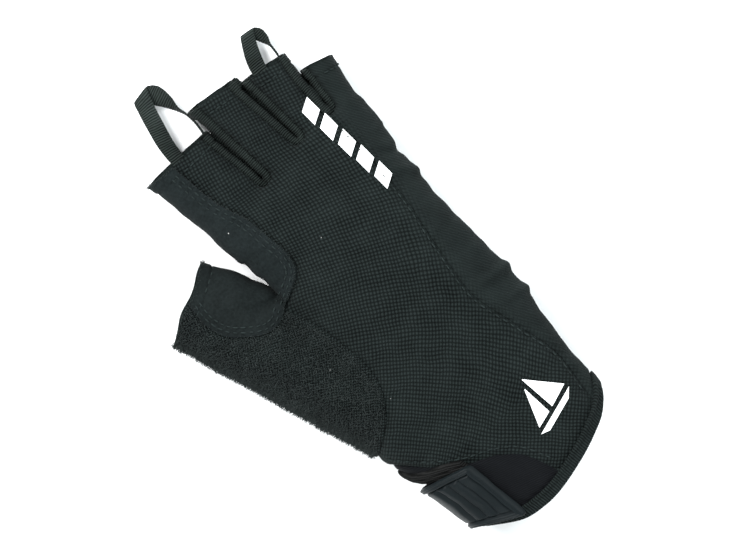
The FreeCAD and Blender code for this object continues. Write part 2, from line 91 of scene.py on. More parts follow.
def side_of(points):
    """The signed distance from a seam seen from above: positive to its right, walking along the points."""
    line = smooth_path(points, 1.5)
    a, b = line[:-1], line[1:]
    run = b - a
    run_length = (run ** 2).sum(1)

    def at(x, y, z=None):
        flat = np.stack([np.ravel(x), np.ravel(y)], 1)
        out = np.empty(len(flat))
        for start in range(0, len(flat), 20000):
            p = flat[start:start + 20000, None, :] - a
            t = (p * run).sum(2) / run_length
            t[:, 1:] = np.maximum(t[:, 1:], 0)
            t[:, :-1] = np.minimum(t[:, :-1], 1)
            off = p - t[..., None] * run
            far = (off ** 2).sum(2)
            near = far.argmin(1)
            rows = np.arange(len(near))
            cross = off[rows, near, 0] * run[near, 1] - off[rows, near, 1] * run[near, 0]
            out[start:start + 20000] = np.sqrt(far[rows, near]) * np.sign(cross)
        return out.reshape(np.shape(x))
    return at


def step_up(x, low, high):
    """0 below low, 1 above high, and a soft slope between."""
    t = np.clip((x - low) / (high - low), 0, 1)
    return t * t * (3 - 2 * t)


# %% Helpers for fields
def soft_min(a, b, blend):
    h = np.clip(0.5 + 0.5 * (b - a) / blend, 0, 1)
    return b + (a - b) * h - blend * h * (1 - h)


def soft_max(a, b, blend):
    return -soft_min(-a, -b, blend)


def tube(across, height, along, rows, power=2.3):
    """A tube whose left, right, low and high sides follow rows of (along, left, right, low, high)."""
    stations = np.array(rows, float)
    left, right, low, high = (through(stations[:, 0], stations[:, k])(along) for k in range(1, 5))
    wide, tall = np.maximum((right - left) / 2, 2), np.maximum((high - low) / 2, 2)
    u = np.abs(across - (left + right) / 2) / wide + 1e-3
    v = np.abs(height - (low + high) / 2) / tall + 1e-3
    size = (u ** power + v ** power) ** (1 / power)
    slope = np.hypot(u ** (power - 1) / wide, v ** (power - 1) / tall) * size ** (1 - power)
    return (size - 1) / slope


# %% [markdown]
# ## The outside of the hand
# A tube each makes the hand, the finger stubs and the thumb. Fingers that lie side by side stay apart, but
# each runs softly into the hand. Rows give the tube's sides at places along it, as a tailor's chart gives
# widths.
# %% Charts of the hand, the fingers and the thumb
HAND = [
    (-112, -22.8, 38.6, 3.2, 29.6), (-98, -23.4, 39.8, 3.2, 30.2), (-85, -24.6, 40.9, 3.0, 30.8),
    (-68, -27.4, 41.8, 2.4, 31.4), (-56, -29.4, 43.8, 1.4, 31.8), (-41, -28.0, 46.2, 0.4, 32.4),
    (-19, -22.0, 46.8, -0.4, 33.2), (10, -17.0, 47.6, -0.8, 33.4), (30, -17.2, 50.7, -0.6, 30.6),
    (42, -18.2, 52.0, -0.3, 27.4), (50, -19.2, 52.6, 0.0, 25.2),
]
FINGERS = {
    "index": [(34, -18.0, 5.6, 0, 25.0), (48, -19.3, 8.2, 0.2, 24.2), (60, -20.6, 7.4, 0.6, 23.0),
    (76, -22.1, 5.2, 0.8, 22.2)],
    "middle": [(34, 9.4, 25.0, 0, 25.6), (48, 7.6, 26.6, 0.2, 24.8), (64, 6.6, 26.2, 0.6, 23.4),
    (84, 5.4, 24.8, 0.8, 22.4)],
    "ring": [(34, 27.2, 40.0, 0, 24.4), (48, 26.1, 41.8, 0.2, 23.6), (62, 25.7, 43.2, 0.5, 22.2),
    (78, 25.4, 44.4, 0.8, 21.2)],
    "little": [(34, 42.0, 50.8, 0, 21.8), (48, 41.3, 52.5, 0.2, 20.4), (58, 42.4, 54.9, 0.4, 19.2),
    (68, 44.4, 56.8, 0.6, 18.4)],
}
THUMB = [
    (-8, -14.9, 15.0, 0.8, 21.5), (0, -15.1, 14.7, 0.8, 22.0), (12, -16.9, 15.8, 0.6, 23.0),
    (24, -18.7, 15.0, 0.3, 24.6),
    (40, -21.2, 13.5, 0.1, 27.0), (60, -24.2, 6.0, 0.1, 28.6), (77, -26.8, -4.0, 0.4, 28.0),
    (92, -28.0, -12.0, 1.5, 27.0),
]
THUMB_TIP = (-41.5, 34.7)
THUMB_LEAN = math.radians(25)
REST_GAP = 1.6                  # the palm cloth stands this high, on its pads
front_of_hand = through([-20, 8, 26, 41, 52], [43.5, 45.2, 47.4, 46.8, 44.0])


def thumb_place(x, y):
    """How far across the thumb a point is, towards the index finger, and how far back from its tip."""
    dx, dy = x - THUMB_TIP[0], y - THUMB_TIP[1]
    cos, sin = math.cos(THUMB_LEAN), math.sin(THUMB_LEAN)
    return dx * cos + dy * sin, dx * sin - dy * cos


def finger_fields(x, y, z):
    return [np.maximum(tube(x, z, y, rows), 33 - y) for rows in FINGERS.values()]


def hand_and_fingers(x, y, z):
    palm = soft_max(tube(x, z, y, HAND, 2.4), y - front_of_hand(x), 3.0)
    return soft_min(palm, np.minimum.reduce(finger_fields(x, y, z)), 3.2)


def thumb_field(x, y, z):
    across, back = thumb_place(x, y)
    return soft_max(tube(across, z, back, THUMB), back - 90, 8.0)


# %% [markdown]
# Cloth never lies as smooth as a drawing. Long soft folds start where the glove bends, at the thumb's
# crotch, the wrist and the knuckles, and the stretch cloth of the outer side puckers. Each fold is a low
# ridge between two points. All folds are part of the field, so everything that is laid on the cloth later
# follows them.
# %% Folds
FOLDS = [   # from x, y to x, y, then width and height
    (-16, 17, 2, 22, 2.2, -0.9), (-15, 12, 6, 2, 3.0, 0.8), (-12, -2, 10, -20, 3.2, 0.6),
    (-18, 22, -2, 36, 2.6, 0.5),
    (46, 30, 30, 24, 2.6, 0.7), (48, 22, 33, 14, 2.2, -0.7), (47, 8, 34, -4, 2.8, 0.8),
    (46, -6, 33, -14, 2.2, -0.7),
    (46, -20, 28, -28, 3.0, 0.8), (46, -34, 26, -36, 2.4, -0.6), (44, -46, 22, -44, 3.0, 0.8),
    (43, -56, 24, -58, 2.4, -0.6),
    (42, -66, 20, -70, 3.0, 0.6), (-24, -54, 4, -60, 3.4, -0.7), (-20, -48, 12, -50, 4.0, 0.7),
    (-26, -64, -4, -70, 2.2, 0.5),
    (2, 38, 4, 20, 3.0, -0.6), (16, 42, 18, 26, 3.6, 0.6), (27, 41, 26, 22, 3.0, -0.6),
    (40, 42, 38, 28, 2.2, -0.5),
    (-36, 26, -24, 20, 2.2, 0.7), (-40, 8, -26, 2, 2.8, 0.7), (-42, -8, -24, -10, 2.6, -0.6),
    (-38, -28, -20, -24, 3.4, 0.8),
    (52, 12, 40, 17, 2.2, 1.3), (49, -36, 37, -30, 2.2, 1.6), (48, -47, 37, -41, 2.0, 1.4),
    (51, 22, 42, 25, 2.0, -0.9),
    (-28, 21, -18, 14, 1.9, -1.4), (-20, 27, -17, 20, 2.0, -0.6), (-30, -44, -10, -38, 2.6, -0.7),
    (-46, 20, -34, 12, 2.0, -0.6), (12, -66, 30, -78, 3.2, 0.5), (0, -40, 18, -22, 4.5, 0.5),
]


def folds(x, y, z):
    total = 0.16 * np.sin(0.31 * x + 1.3 * np.sin(0.11 * y)) * np.sin(0.23 * y + 0.17 * z + np.sin(0.19 * x))
    total = total + 0.10 * np.sin(0.71 * y + 0.55 * x + 1.7 * np.sin(0.13 * x)) * np.sin(0.37 * x - 0.21 * y)
    upper = step_up(z, 4, 11)
    for x0, y0, x1, y1, wide, high in FOLDS:
        long = math.hypot(x1 - x0, y1 - y0)
        tx, ty = (x1 - x0) / long, (y1 - y0) / long
        along = ((x - x0) * tx + (y - y0) * ty) / long
        aside = (y - y0) * tx - (x - x0) * ty
        aside = aside - 1.6 * np.sin(3.0 * along + x0)
        fade = np.exp(-(np.clip(np.abs(along - 0.5) - 0.3, 0, 9) / 0.22) ** 2)
        total = total + high * fade * np.exp(-(aside / wide) ** 2) * upper
    return total


def glove(x, y, z):
    """The outside of the cloth."""
    back = thumb_place(x, y)[1]
    blend = 1.5 + 6.0 * step_up(back, 24, 46)
    field = soft_min(hand_and_fingers(x, y, z), thumb_field(x, y, z), blend)
    return soft_max(field, REST_GAP - z, 1.6) - folds(x, y, z)


def slope_of(field, p, gap=0.05):
    out = np.empty_like(p)
    for k in range(3):
        shift = np.zeros(3)
        shift[k] = gap
        out[:, k] = (field(*(p + shift).T) - field(*(p - shift).T)) / (2 * gap)
    return out


def settle(field, p, rounds=3, lift=0.0):
    """Moves points onto the surface where the field equals lift."""
    for _ in range(rounds):
        slope = slope_of(field, p)
        p = p - ((field(*p.T) - lift) / np.maximum((slope ** 2).sum(1), 0.05))[:, None] * slope
    return p


def cast(field, low, high, grain):
    """The skin of a field inside a box, as points and four-sided faces that look outwards."""
    counts = [int(math.ceil((b - a) / grain)) + 3 for a, b in zip(low, high)]
    axes = [a - grain + grain * np.arange(n) for a, n in zip(low, counts)]
    x, y, z = np.meshgrid(*axes, indexing="ij")
    grid = openvdb.FloatGrid(9.0)
    grid.copyFromArray(np.clip(field(x, y, z), -9, 9).astype(np.float32))
    points, quads = grid.convertToQuads(isovalue=0.0)
    points = points.astype(float) * grain + [a[0] for a in axes]
    quads = quads.astype(int)
    mid = points[quads].mean(1)
    face = np.cross(points[quads[:, 2]] - points[quads[:, 0]], points[quads[:, 3]] - points[quads[:, 1]])
    outward = (face * slope_of(field, mid)).sum(1).mean() > 0
    return points, quads if outward else quads[:, ::-1]


GRAIN = 0.7
points, quads = cast(glove, (-62, -108, 0.4), (62, 90, 37), GRAIN)
points = settle(glove, points)
corners = points[quads]
one_way = np.linalg.norm(corners[:, 0] - corners[:, 2], axis=1)
other_way = np.linalg.norm(corners[:, 1] - corners[:, 3], axis=1)
even = one_way < other_way      # each quad is divided along its shorter diagonal
triangles = np.concatenate([
    quads[even][:, [0, 1, 2]], quads[even][:, [0, 2, 3]], quads[~even][:, [1, 2, 3]],
    quads[~even][:, [1, 3, 0]],
])
print(f"skin: {len(points)} points, {len(triangles)} triangles")

# %% [markdown]
# ## Seams
# A seam is a line on the skin. Each one is a field too, which is zero on the line, so the skin's triangles
# are divided exactly where it changes sign. Points that lie almost on the line are moved onto it first,
# because a cut right beside them would leave slivers.
# %% Seam lines, seen from above
side_seam = side_of([
    (46, 96), (44.4, 72), (42.7, 62), (41.4, 50), (40.0, 30), (38.5, 9), (34.4, -12), (31.2, -33.6),
    (34.4, -50),
    (37.8, -67.7), (35.4, -84.8), (33.6, -106),
])
wrist_seam = side_of([
    (-50, -38), (-40, -47), (-30.9, -56.2), (-21.3, -65.9), (-11.7, -73.3), (-2.9, -77.8), (3.1, -83.2),
    (7.4, -92.4), (10.5, -110),
])
SUEDE_EDGE = [
    (-12.4, 96), (-11.4, 70), (-9.3, 51.3), (-6.1, 41.1), (-5.1, 30.8), (-4.7, 22), (-6.0, 17.4),
    (-9.6, 14.4), (-14.3, 12.4),
    (-19.0, 10.2), (-22.8, 7.8), (-28, 7.8), (-34.7, 12), (-40, 17.7), (-42.4, 25.6), (-41.6, 34), (-40, 50),
]
suede_seam = side_of(SUEDE_EDGE)
TERRY_EDGE = [
    (-23, 24), (-19.4, 9.6), (-16.2, 1.4), (-14.6, -4.6), (-13.4, -14.1), (-12.9, -25.5), (-15.2, -34.3),
    (-20.7, -41.6),
    (-29.4, -47.4), (-46, -56),
]
terry_seam = side_of(TERRY_EDGE)
palm_thumb_seam = side_of([
    (-26, 64), (-24.5, 42), (-22.6, 34), (-17.8, 21), (-13.8, 6), (-12, -20), (-18, -42), (-32, -55),
    (-46, -62),
])
SLITS = {
    "gusset_index_middle": [(8.0, 48.0), (7.2, 60), (5.9, 74), (5.0, 90)],
    "gusset_middle_ring": [(26.4, 50.0), (25.9, 62), (25.4, 76), (25.0, 92)],
    "gusset_ring_little": [(41.4, 49.6), (42.6, 61), (44.2, 70), (46.0, 86)],
}
GUSSET_REACH = 3.4              # the ribbed gussets show this far each side of the slit
cuff_line = through([-40, -31, -26, -20, -11.4, -2.3, 15.8, 27, 34, 38, 41, 46],
                    [-84, -88.0, -90.8, -95.0, -100.4, -102.2, -100, -96.6, -93.4, -90.0, -86.0, -79])
TAPE = 4.6                      # width of the cuff's binding
MOUTHS = {"index": (-8.2, 72.5, -0.03), "middle": (15.1, 79.9, -0.16), "ring": (34.2, 74.0, -0.18),
    "little": (49.2, 62.1, -0.31)}
PALM_SEAM = 7.0


def slit_field(points):
    line = smooth_path(points, 1.0)
    reach = GUSSET_REACH * np.linspace(0.72, 1.18, len(line))

    def at(x, y, z):
        return np.max([r - np.hypot(x - px, y - py) for r, (px, py) in zip(reach, line)], axis=0)
    return at


def mouth_field(x, y, z):
    """Positive past a finger's hem. The palm side of a stub reaches a little further than its back."""
    owner = np.argmin(finger_fields(x, y, z), axis=0)
    rows = np.array(list(MOUTHS.values()))[owner]
    hem = rows[..., 1] + rows[..., 2] * (x - rows[..., 0]) + 2.6 * (1 - z / 22)
    return np.where(y > 45, y - hem, -9.0)


def thumb_mouth_field(x, y, z):
    across, back = thumb_place(x, y)
    hem = -1.8 * (1 - z / 22) + 0.5 * np.sin(across * 0.35)
    return np.where((across < 18) & (back < 20), hem - back, -9.0)


SEAMS = {
    "mouth": mouth_field,
    "thumb_mouth": thumb_mouth_field,
    "cuff": lambda x, y, z: cuff_line(x) - y,
    "tape": lambda x, y, z: cuff_line(x) + TAPE - y,
    "palm": lambda x, y, z: PALM_SEAM + 0.4 * np.sin(0.06 * y) - z,
    "side": lambda x, y, z: np.maximum(-side_seam(x, y), np.minimum(15 - z, x - 8)),
    "wrist": wrist_seam,
    "suede": suede_seam,
    "terry": terry_seam,
    "palm_thumb": palm_thumb_seam,
    "crotch": lambda x, y, z: np.where(y < 60, hand_and_fingers(x, y, z) - thumb_field(x, y, z), -9.0),
}
SEAMS.update({name: slit_field(line) for name, line in SLITS.items()})


# %% Cutting the skin along a field
def carve(points, triangles, field):
    value = field(*points.T)
    near = np.abs(value) < 0.3 * GRAIN
    slope = slope_of(field, points[near])
    size = np.maximum((slope ** 2).sum(1), 1e-3)
    good = size > 0.3
    moved = points[near] - np.where(good, value[near] / size, 0)[:, None] * slope
    points = points.copy()
    points[near] = settle(glove, moved, 1)
    value[np.flatnonzero(near)[good]] = 0
    side = np.sign(value)
    mixed = (side[triangles].min(1) < 0) & (side[triangles].max(1) > 0)
    extra, made, new = [], {}, []
    for tri in triangles[mixed]:
        ring = []
        for a, b in zip(tri, np.roll(tri, -1)):
            ring.append((a, side[a]))
            if side[a] * side[b] < 0:
                key = (min(a, b), max(a, b))
                if key not in made:
                    t = value[key[0]] / (value[key[0]] - value[key[1]])
                    made[key] = len(points) + len(extra)
                    extra.append(points[key[0]] * (1 - t) + points[key[1]] * t)
                ring.append((made[key], 0))
        for keep in (1, -1):
            loop = [i for i, s in ring if s == keep or s == 0]
            new += [(loop[0], loop[k], loop[k + 1]) for k in range(1, len(loop) - 1)]
    if extra:
        points = np.concatenate([points, extra])
        triangles = np.concatenate([triangles[~mixed], np.array(new)])
    return points, triangles


for name, field in SEAMS.items():
    points, triangles = carve(points, triangles, field)
middle = points[triangles].mean(1)
at = {name: field(*middle.T) for name, field in SEAMS.items()}
kept = (at["mouth"] < 0) & (at["thumb_mouth"] < 0) & (at["cuff"] < 0)
print(f"cut skin: {len(points)} points, {kept.sum()} triangles kept")

# %% Which panel each triangle belongs to
panel_of = np.full(len(triangles), "back", dtype=object)
panel_of[at["terry"] > 0] = "terry"
panel_of[(at["suede"] > 0) & (at["crotch"] <= 0)] = "index_side"
panel_of[(at["suede"] > 0) & (at["crotch"] > 0)] = "thumb_suede"
panel_of[at["wrist"] > 0] = "wrist"
panel_of[at["side"] > 0] = "side"
panel_of[at["palm"] > 0] = "palm"
panel_of[(at["palm"] > 0) & (at["palm_thumb"] > 0)] = "thumb_palm"
for name in SLITS:
    panel_of[(at[name] > 0) & (middle[:, 1] > 40)] = name
panel_of[at["tape"] > 0] = "binding"
panel_of[~kept] = "waste"
print({name: int((panel_of == name).sum()) for name in sorted(set(panel_of))})

# %% [markdown]
# ## Meshes
# Every piece's place is in its own mesh, in metres, with its object at the origin. Cloth gets a map of its
# own besides, in millimetres along and across the weave, so a knit runs round a finger as it does on the
# real glove.
# %% Making a mesh
def cloth_map(p):
    """Millimetres across, round the tube that a point lies on, and millimetres along."""
    x, y, z = p.T
    u = x.copy()
    middle_x, middle_z = through([-110, 0, 50], [6, 13, 16])(y), through([-110, 0, 50], [16.6, 16.4, 12.6])(y)
    half = through([-110, 0, 50], [33, 34, 36.5])(y)
    finger = np.argmin(finger_fields(x, y, z), axis=0)
    for i, chart in enumerate(FINGERS.values()):
        on = (y > 47) & (finger == i)
        rows = np.array(chart)
        left, right = through(rows[:, 0], rows[:, 1])(y), through(rows[:, 0], rows[:, 2])(y)
        middle_x = np.where(on, (left + right) / 2, middle_x)
        half = np.where(on, (right - left) / 2, half)
        middle_z = np.where(on, 11.5, middle_z)
    steep = np.clip((np.abs(x - middle_x) / half - 0.8) / 0.2, 0, 1)
    u = u + np.sign(x - middle_x) * steep * np.maximum(middle_z + 6 - z, 0) * 0.9
    return np.stack([u, y], 1)


def make_mesh(name, points, faces, uv=None, smooth=True):
    mesh = bpy.data.meshes.new(name)
    mesh.from_pydata((np.asarray(points) * MM).tolist(), [], [list(map(int, f)) for f in faces])
    if uv is not None:
        layer = mesh.uv_layers.new(name="cloth")
        corner = np.empty(len(mesh.loops), dtype=np.int32)
        mesh.loops.foreach_get("vertex_index", corner)
        layer.data.foreach_set("uv", np.asarray(uv, dtype=np.float32)[corner].ravel())
    if smooth:
        mesh.shade_smooth()
        mesh.set_sharp_from_angle(angle=math.radians(48))
    mesh.update()
    piece = bpy.data.objects.new(name, mesh)
    bpy.context.scene.collection.objects.link(piece)
    return piece


def nearest(points, targets):
    """How far each point is from the nearest of the targets."""
    if not len(targets):
        return np.full(len(points), 99.0)
    tree = kdtree.KDTree(len(targets))
    for i, p in enumerate(targets):
        tree.insert(p, i)
    tree.balance()
    return np.array([tree.find(p)[2] for p in points])


def rim_of(faces):
    """The open edges of a sheet, in the direction its faces run."""
    edges = np.concatenate([faces[:, [0, 1]], faces[:, [1, 2]], faces[:, [2, 0]]])
    key = np.sort(edges, axis=1)
    _, index, count = np.unique(key, axis=0, return_index=True, return_counts=True)
    return edges[index[count == 1]]


# %% [markdown]
# ## Cloth panels
# A panel is its share of the skin, raised or sunk a little, then given a thickness. At a sewn seam both
# cloths are pulled down, which is what makes a seam read as a seam. A patch that is laid on top keeps a
# crisp edge instead. At a hem the cloth is folded double, so it is thicker there, with a shallow groove
# under its row of stitches.
# %% Panels
HEM = 4.0                       # how far a hem is folded back
THUMB_SIDE = -25                # a hem with a smaller X than this is the thumb's
PANELS = {  # raise, sink at the seams, width of that dip, thickness, height of a lip
    "back": (0.0, 0.8, 1.4, 1.0, 0.0),
    "side": (0.0, 0.55, 1.0, 0.9, 0.0),
    "index_side": (0.55, 0.10, 0.5, 1.2, 0.0),
    "thumb_suede": (0.55, 0.10, 0.5, 1.2, 0.0),
    "terry": (0.55, 0.75, 1.2, 1.4, 0.0),
    "wrist": (-0.05, 0.5, 1.0, 0.9, 0.0),
    "palm": (0.2, 0.4, 0.8, 1.2, 0.0),
    "thumb_palm": (0.2, 0.4, 0.8, 1.2, 0.0),
    "gusset_index_middle": (-0.1, 0.0, 0.8, 0.8, 1.15),
    "gusset_middle_ring": (-0.1, 0.0, 0.8, 0.8, 1.15),
    "gusset_ring_little": (-0.1, 0.0, 0.8, 0.8, 1.15),
    "binding": (0.55, 0.1, 0.4, 2.0, 0.0),
}
shells = {}


def build_panel(name):
    raised, sink, dip, thick, lip = PANELS[name]
    faces = triangles[panel_of == name]
    used, faces = np.unique(faces, return_inverse=True)
    faces = faces.reshape(-1, 3)
    p = points[used]
    rim = rim_of(faces)
    rim_points = np.unique(rim)
    hem = np.maximum(mouth_field(*p.T), thumb_mouth_field(*p.T))
    cuff = cuff_line(p[:, 0]) - p[:, 1]
    loose = (hem > -0.15) | (cuff > -0.15)
    sewn = rim_points[~loose[rim_points]]
    seam = nearest(p, p[sewn])
    out = slope_of(glove, p)
    out /= np.linalg.norm(out, axis=1)[:, None]
    lift = raised - sink * np.exp(-(seam / dip) ** 2)
    if lip:
        lift = lift + lip * np.sqrt(np.clip(1 - ((seam - 1.6) / 1.7) ** 2, 0, 1)) - 0.25 * (seam < 0.05)
        rib = np.sin(2 * np.pi * p[:, 1] / 1.5)
        lift = lift + 0.14 * rib * np.clip(1.7 - np.abs(seam - 1.6), 0, 1)
    hem_deep = -np.where(p[:, 0] < THUMB_SIDE, thumb_mouth_field(*p.T), mouth_field(*p.T))
    lift = lift + 0.35 * (1 - step_up(hem_deep, HEM - 0.8, HEM + 0.2))
    lift = lift - 0.3 * np.exp(-((hem_deep - HEM) / 0.35) ** 2)
    lift = lift + 0.12 * np.sin(1.9 * (p[:, 0] + p[:, 1])) * np.exp(-(seam / 2.5) ** 2) * (sink > 0.3)
    if name == "binding":
        deep = cuff_line(p[:, 0]) + TAPE - p[:, 1]
        cord = 0.9 * (1 - step_up(p[:, 0], 36, 41))
        lift = lift + cord * np.sqrt(np.clip(1 - ((deep - 0.75) / 0.8) ** 2, 0, 1))
        lift = lift + 0.10 * np.sin(2 * np.pi * (p[:, 0] + p[:, 2]) / 1.2) * (deep > 1.7)
        lift = lift - 0.4 * step_up(-cuff, 0.9, 0.0)
    outer = p + out * lift[:, None]
    outer[:, 2] = np.where(p[:, 2] < REST_GAP + 0.7, np.maximum(outer[:, 2], 0.9), outer[:, 2])
    inner = p + out * (np.minimum(lift, 0.2) - thick)[:, None]
    n = len(p)
    walls = np.concatenate([
        np.stack([rim[:, 1], rim[:, 0], rim[:, 0] + n], 1),
        np.stack([rim[:, 1], rim[:, 0] + n, rim[:, 1] + n], 1),
    ])
    all_points = np.concatenate([outer, inner])
    all_faces = np.concatenate([faces, faces[:, ::-1] + n, walls])
    uv = cloth_map(np.concatenate([p, p]))
    if name.startswith("gusset"):
        uv = np.stack([all_points[:, 0], all_points[:, 1]], 1)
    shells[name] = (outer, out, seam)
    piece = make_mesh(name + "_cloth", all_points, all_faces, uv)
    share = step_up(side_seam(all_points[:, 0], all_points[:, 1]), -6.0, 6.0)
    share = share * step_up(all_points[:, 2], 5, 14)
    mesh_share = piece.data.attributes.new("mesh_share", "FLOAT", "POINT")
    mesh_share.data.foreach_set("value", share.astype(np.float32))
    print(f"{name}: {len(all_faces)} triangles, {np.ptp(all_points, axis=0).round(1)} mm")
    return piece


panels = {name: build_panel(name) for name in PANELS}

# %% [markdown]
# ## Finishes
# Black cloth shows only by how its threads catch light, so each finish has its own relief at its true size.
# The patterns are shader groups: they give out masks, and the material turns a mask into colour, roughness
# and a bump. Knits read the cloth's own map, and nap and dust read Object coordinates, so nothing slides in
# other views.
# %% Wiring helpers
def wire(tree, kind, inputs=None, **settings):
    """A node with its settings, whose inputs are numbers or sockets."""
    made = tree.nodes.new(kind)
    for key, value in settings.items():
        setattr(made, key, value)
    for key, value in (inputs or {}).items():
        if isinstance(value, bpy.types.NodeSocket):
            tree.links.new(value, made.inputs[key])
        else:
            made.inputs[key].default_value = value
    return made


def group_tree(name, kind, sockets):
    tree = bpy.data.node_groups.new(name, kind)
    for label, way, socket, value in sockets:
        made = tree.interface.new_socket(label, in_out=way, socket_type=socket)
        if value is not None:
            made.default_value = value
    return tree, tree.nodes.new("NodeGroupInput").outputs, tree.nodes.new("NodeGroupOutput").inputs


def sum_of(tree, kind, a, b, third=None):
    inputs = {0: a, 1: b}
    if third is not None:
        inputs[2] = third
    return wire(tree, "ShaderNodeMath", inputs, operation=kind).outputs[0]


# %% Patterns: knitted dots, ribs, nap and dust
def dots_group():
    tree, given, out = group_tree("knit_dots", "ShaderNodeTree", [
        ("Place", "INPUT", "NodeSocketVector", None), ("Pitch", "INPUT", "NodeSocketFloat", 1.2),
        ("Mask", "OUTPUT", "NodeSocketFloat", None),
    ])
    along = wire(tree, "ShaderNodeSeparateXYZ", {0: given["Place"]}).outputs["Y"]
    lie = wire(tree, "ShaderNodeMapRange",
        {"Value": along, "From Min": -70.0, "From Max": 50.0, "To Min": 0.84, "To Max": 0.28})
    turned = wire(tree, "ShaderNodeVectorRotate", {"Vector": given["Place"], "Angle": lie.outputs[0]},
        rotation_type="Z_AXIS")
    wobble = wire(tree, "ShaderNodeTexNoise",
        {"Vector": given["Place"], "Scale": 0.06, "Detail": 3.0, "Roughness": 0.55})
    shifted = wire(tree, "ShaderNodeVectorMath",
        {0: wobble.outputs["Color"], 1: (2.6, 2.6, 0.0), 2: turned.outputs[0]}, operation="MULTIPLY_ADD")
    size = wire(tree, "ShaderNodeVectorMath", {0: shifted.outputs[0], 1: (1, 1, 0)}, operation="MULTIPLY")
    cell = wire(tree, "ShaderNodeVectorMath", {0: size.outputs[0]}, operation="SCALE")
    tree.links.new(sum_of(tree, "DIVIDE", 1.0, given["Pitch"]), cell.inputs["Scale"])
    part = wire(tree, "ShaderNodeVectorMath", {0: cell.outputs[0]}, operation="FRACTION")
    centred = wire(tree, "ShaderNodeVectorMath", {0: part.outputs[0], 1: (0.5, 0.5, 0.0)},
        operation="SUBTRACT")
    radius = wire(tree, "ShaderNodeVectorMath", {0: centred.outputs[0]}, operation="LENGTH")
    mask = wire(tree, "ShaderNodeMapRange",
        {"Value": radius.outputs["Value"], "From Min": 0.12, "From Max": 0.62, "To Min": 1.0,
        "To Max": 0.0}, interpolation_type="SMOOTHSTEP")
    tree.links.new(mask.outputs[0], out["Mask"])
    return tree


def ribs_group():
    tree, given, out = group_tree("ribs", "ShaderNodeTree", [
        ("Place", "INPUT", "NodeSocketVector", None), ("Pitch", "INPUT", "NodeSocketFloat", 0.8),
        ("Turn", "INPUT", "NodeSocketFloat", 0.0), ("Mask", "OUTPUT", "NodeSocketFloat", None),
    ])
    turned = wire(tree, "ShaderNodeVectorRotate", {"Vector": given["Place"], "Angle": given["Turn"]},
        rotation_type="Z_AXIS")
    along = wire(tree, "ShaderNodeSeparateXYZ", {0: turned.outputs[0]}).outputs["Y"]
    wobble = wire(tree, "ShaderNodeTexNoise",
        {"Vector": given["Place"], "Scale": 0.5, "Detail": 1.0}).outputs[0]
    bent = sum_of(tree, "MULTIPLY_ADD", wobble, 0.5, along)
    phase = sum_of(tree, "DIVIDE", sum_of(tree, "MULTIPLY", bent, 2 * math.pi), given["Pitch"])
    wave = wire(tree, "ShaderNodeMath", {0: phase}, operation="SINE").outputs[0]
    tree.links.new(sum_of(tree, "MULTIPLY_ADD", wave, 0.5, 0.5), out["Mask"])
    return tree


def nap_group():
    tree, given, out = group_tree("nap_and_dust", "ShaderNodeTree", [
        ("Fine", "INPUT", "NodeSocketFloat", 2.0), ("Often", "INPUT", "NodeSocketFloat", 0.1),
        ("Nap", "OUTPUT", "NodeSocketFloat", None),
        ("Cloud", "OUTPUT", "NodeSocketFloat", None), ("Dust", "OUTPUT", "NodeSocketFloat", None),
    ])
    place = wire(tree, "ShaderNodeTexCoord").outputs["Object"]
    in_mm = wire(tree, "ShaderNodeVectorMath", {0: place, 1: (1000, 1000, 1000)},
        operation="MULTIPLY").outputs[0]
    nap = wire(tree, "ShaderNodeTexNoise",
        {"Vector": in_mm, "Scale": given["Fine"], "Detail": 3.0, "Roughness": 0.65})
    cloud = wire(tree, "ShaderNodeTexNoise",
        {"Vector": in_mm, "Scale": 0.11, "Detail": 3.0, "Roughness": 0.6})
    speck = wire(tree, "ShaderNodeTexVoronoi", {"Vector": in_mm, "Scale": 0.13}, feature="F1")
    spot = wire(tree, "ShaderNodeMapRange",
        {"Value": speck.outputs["Distance"], "From Min": 0.020, "From Max": 0.034, "To Min": 1.0,
        "To Max": 0.0})
    chance = wire(tree, "ShaderNodeSeparateColor", {0: speck.outputs["Color"]}).outputs[0]
    rare = sum_of(tree, "LESS_THAN", chance, given["Often"])
    tree.links.new(nap.outputs[0], out["Nap"])
    tree.links.new(cloud.outputs[0], out["Cloud"])
    tree.links.new(sum_of(tree, "MULTIPLY", spot.outputs[0], rare), out["Dust"])
    return tree


DOTS, RIBS, NAP = dots_group(), ribs_group(), nap_group()


# %% One recipe for every finish
def grey(value, tint=(0.74, 1.0, 0.97)):
    """Half of value, tinted. The usual tint is the greenish grey of this cloth."""
    return (*[0.5 * value * t for t in tint], 1.0)


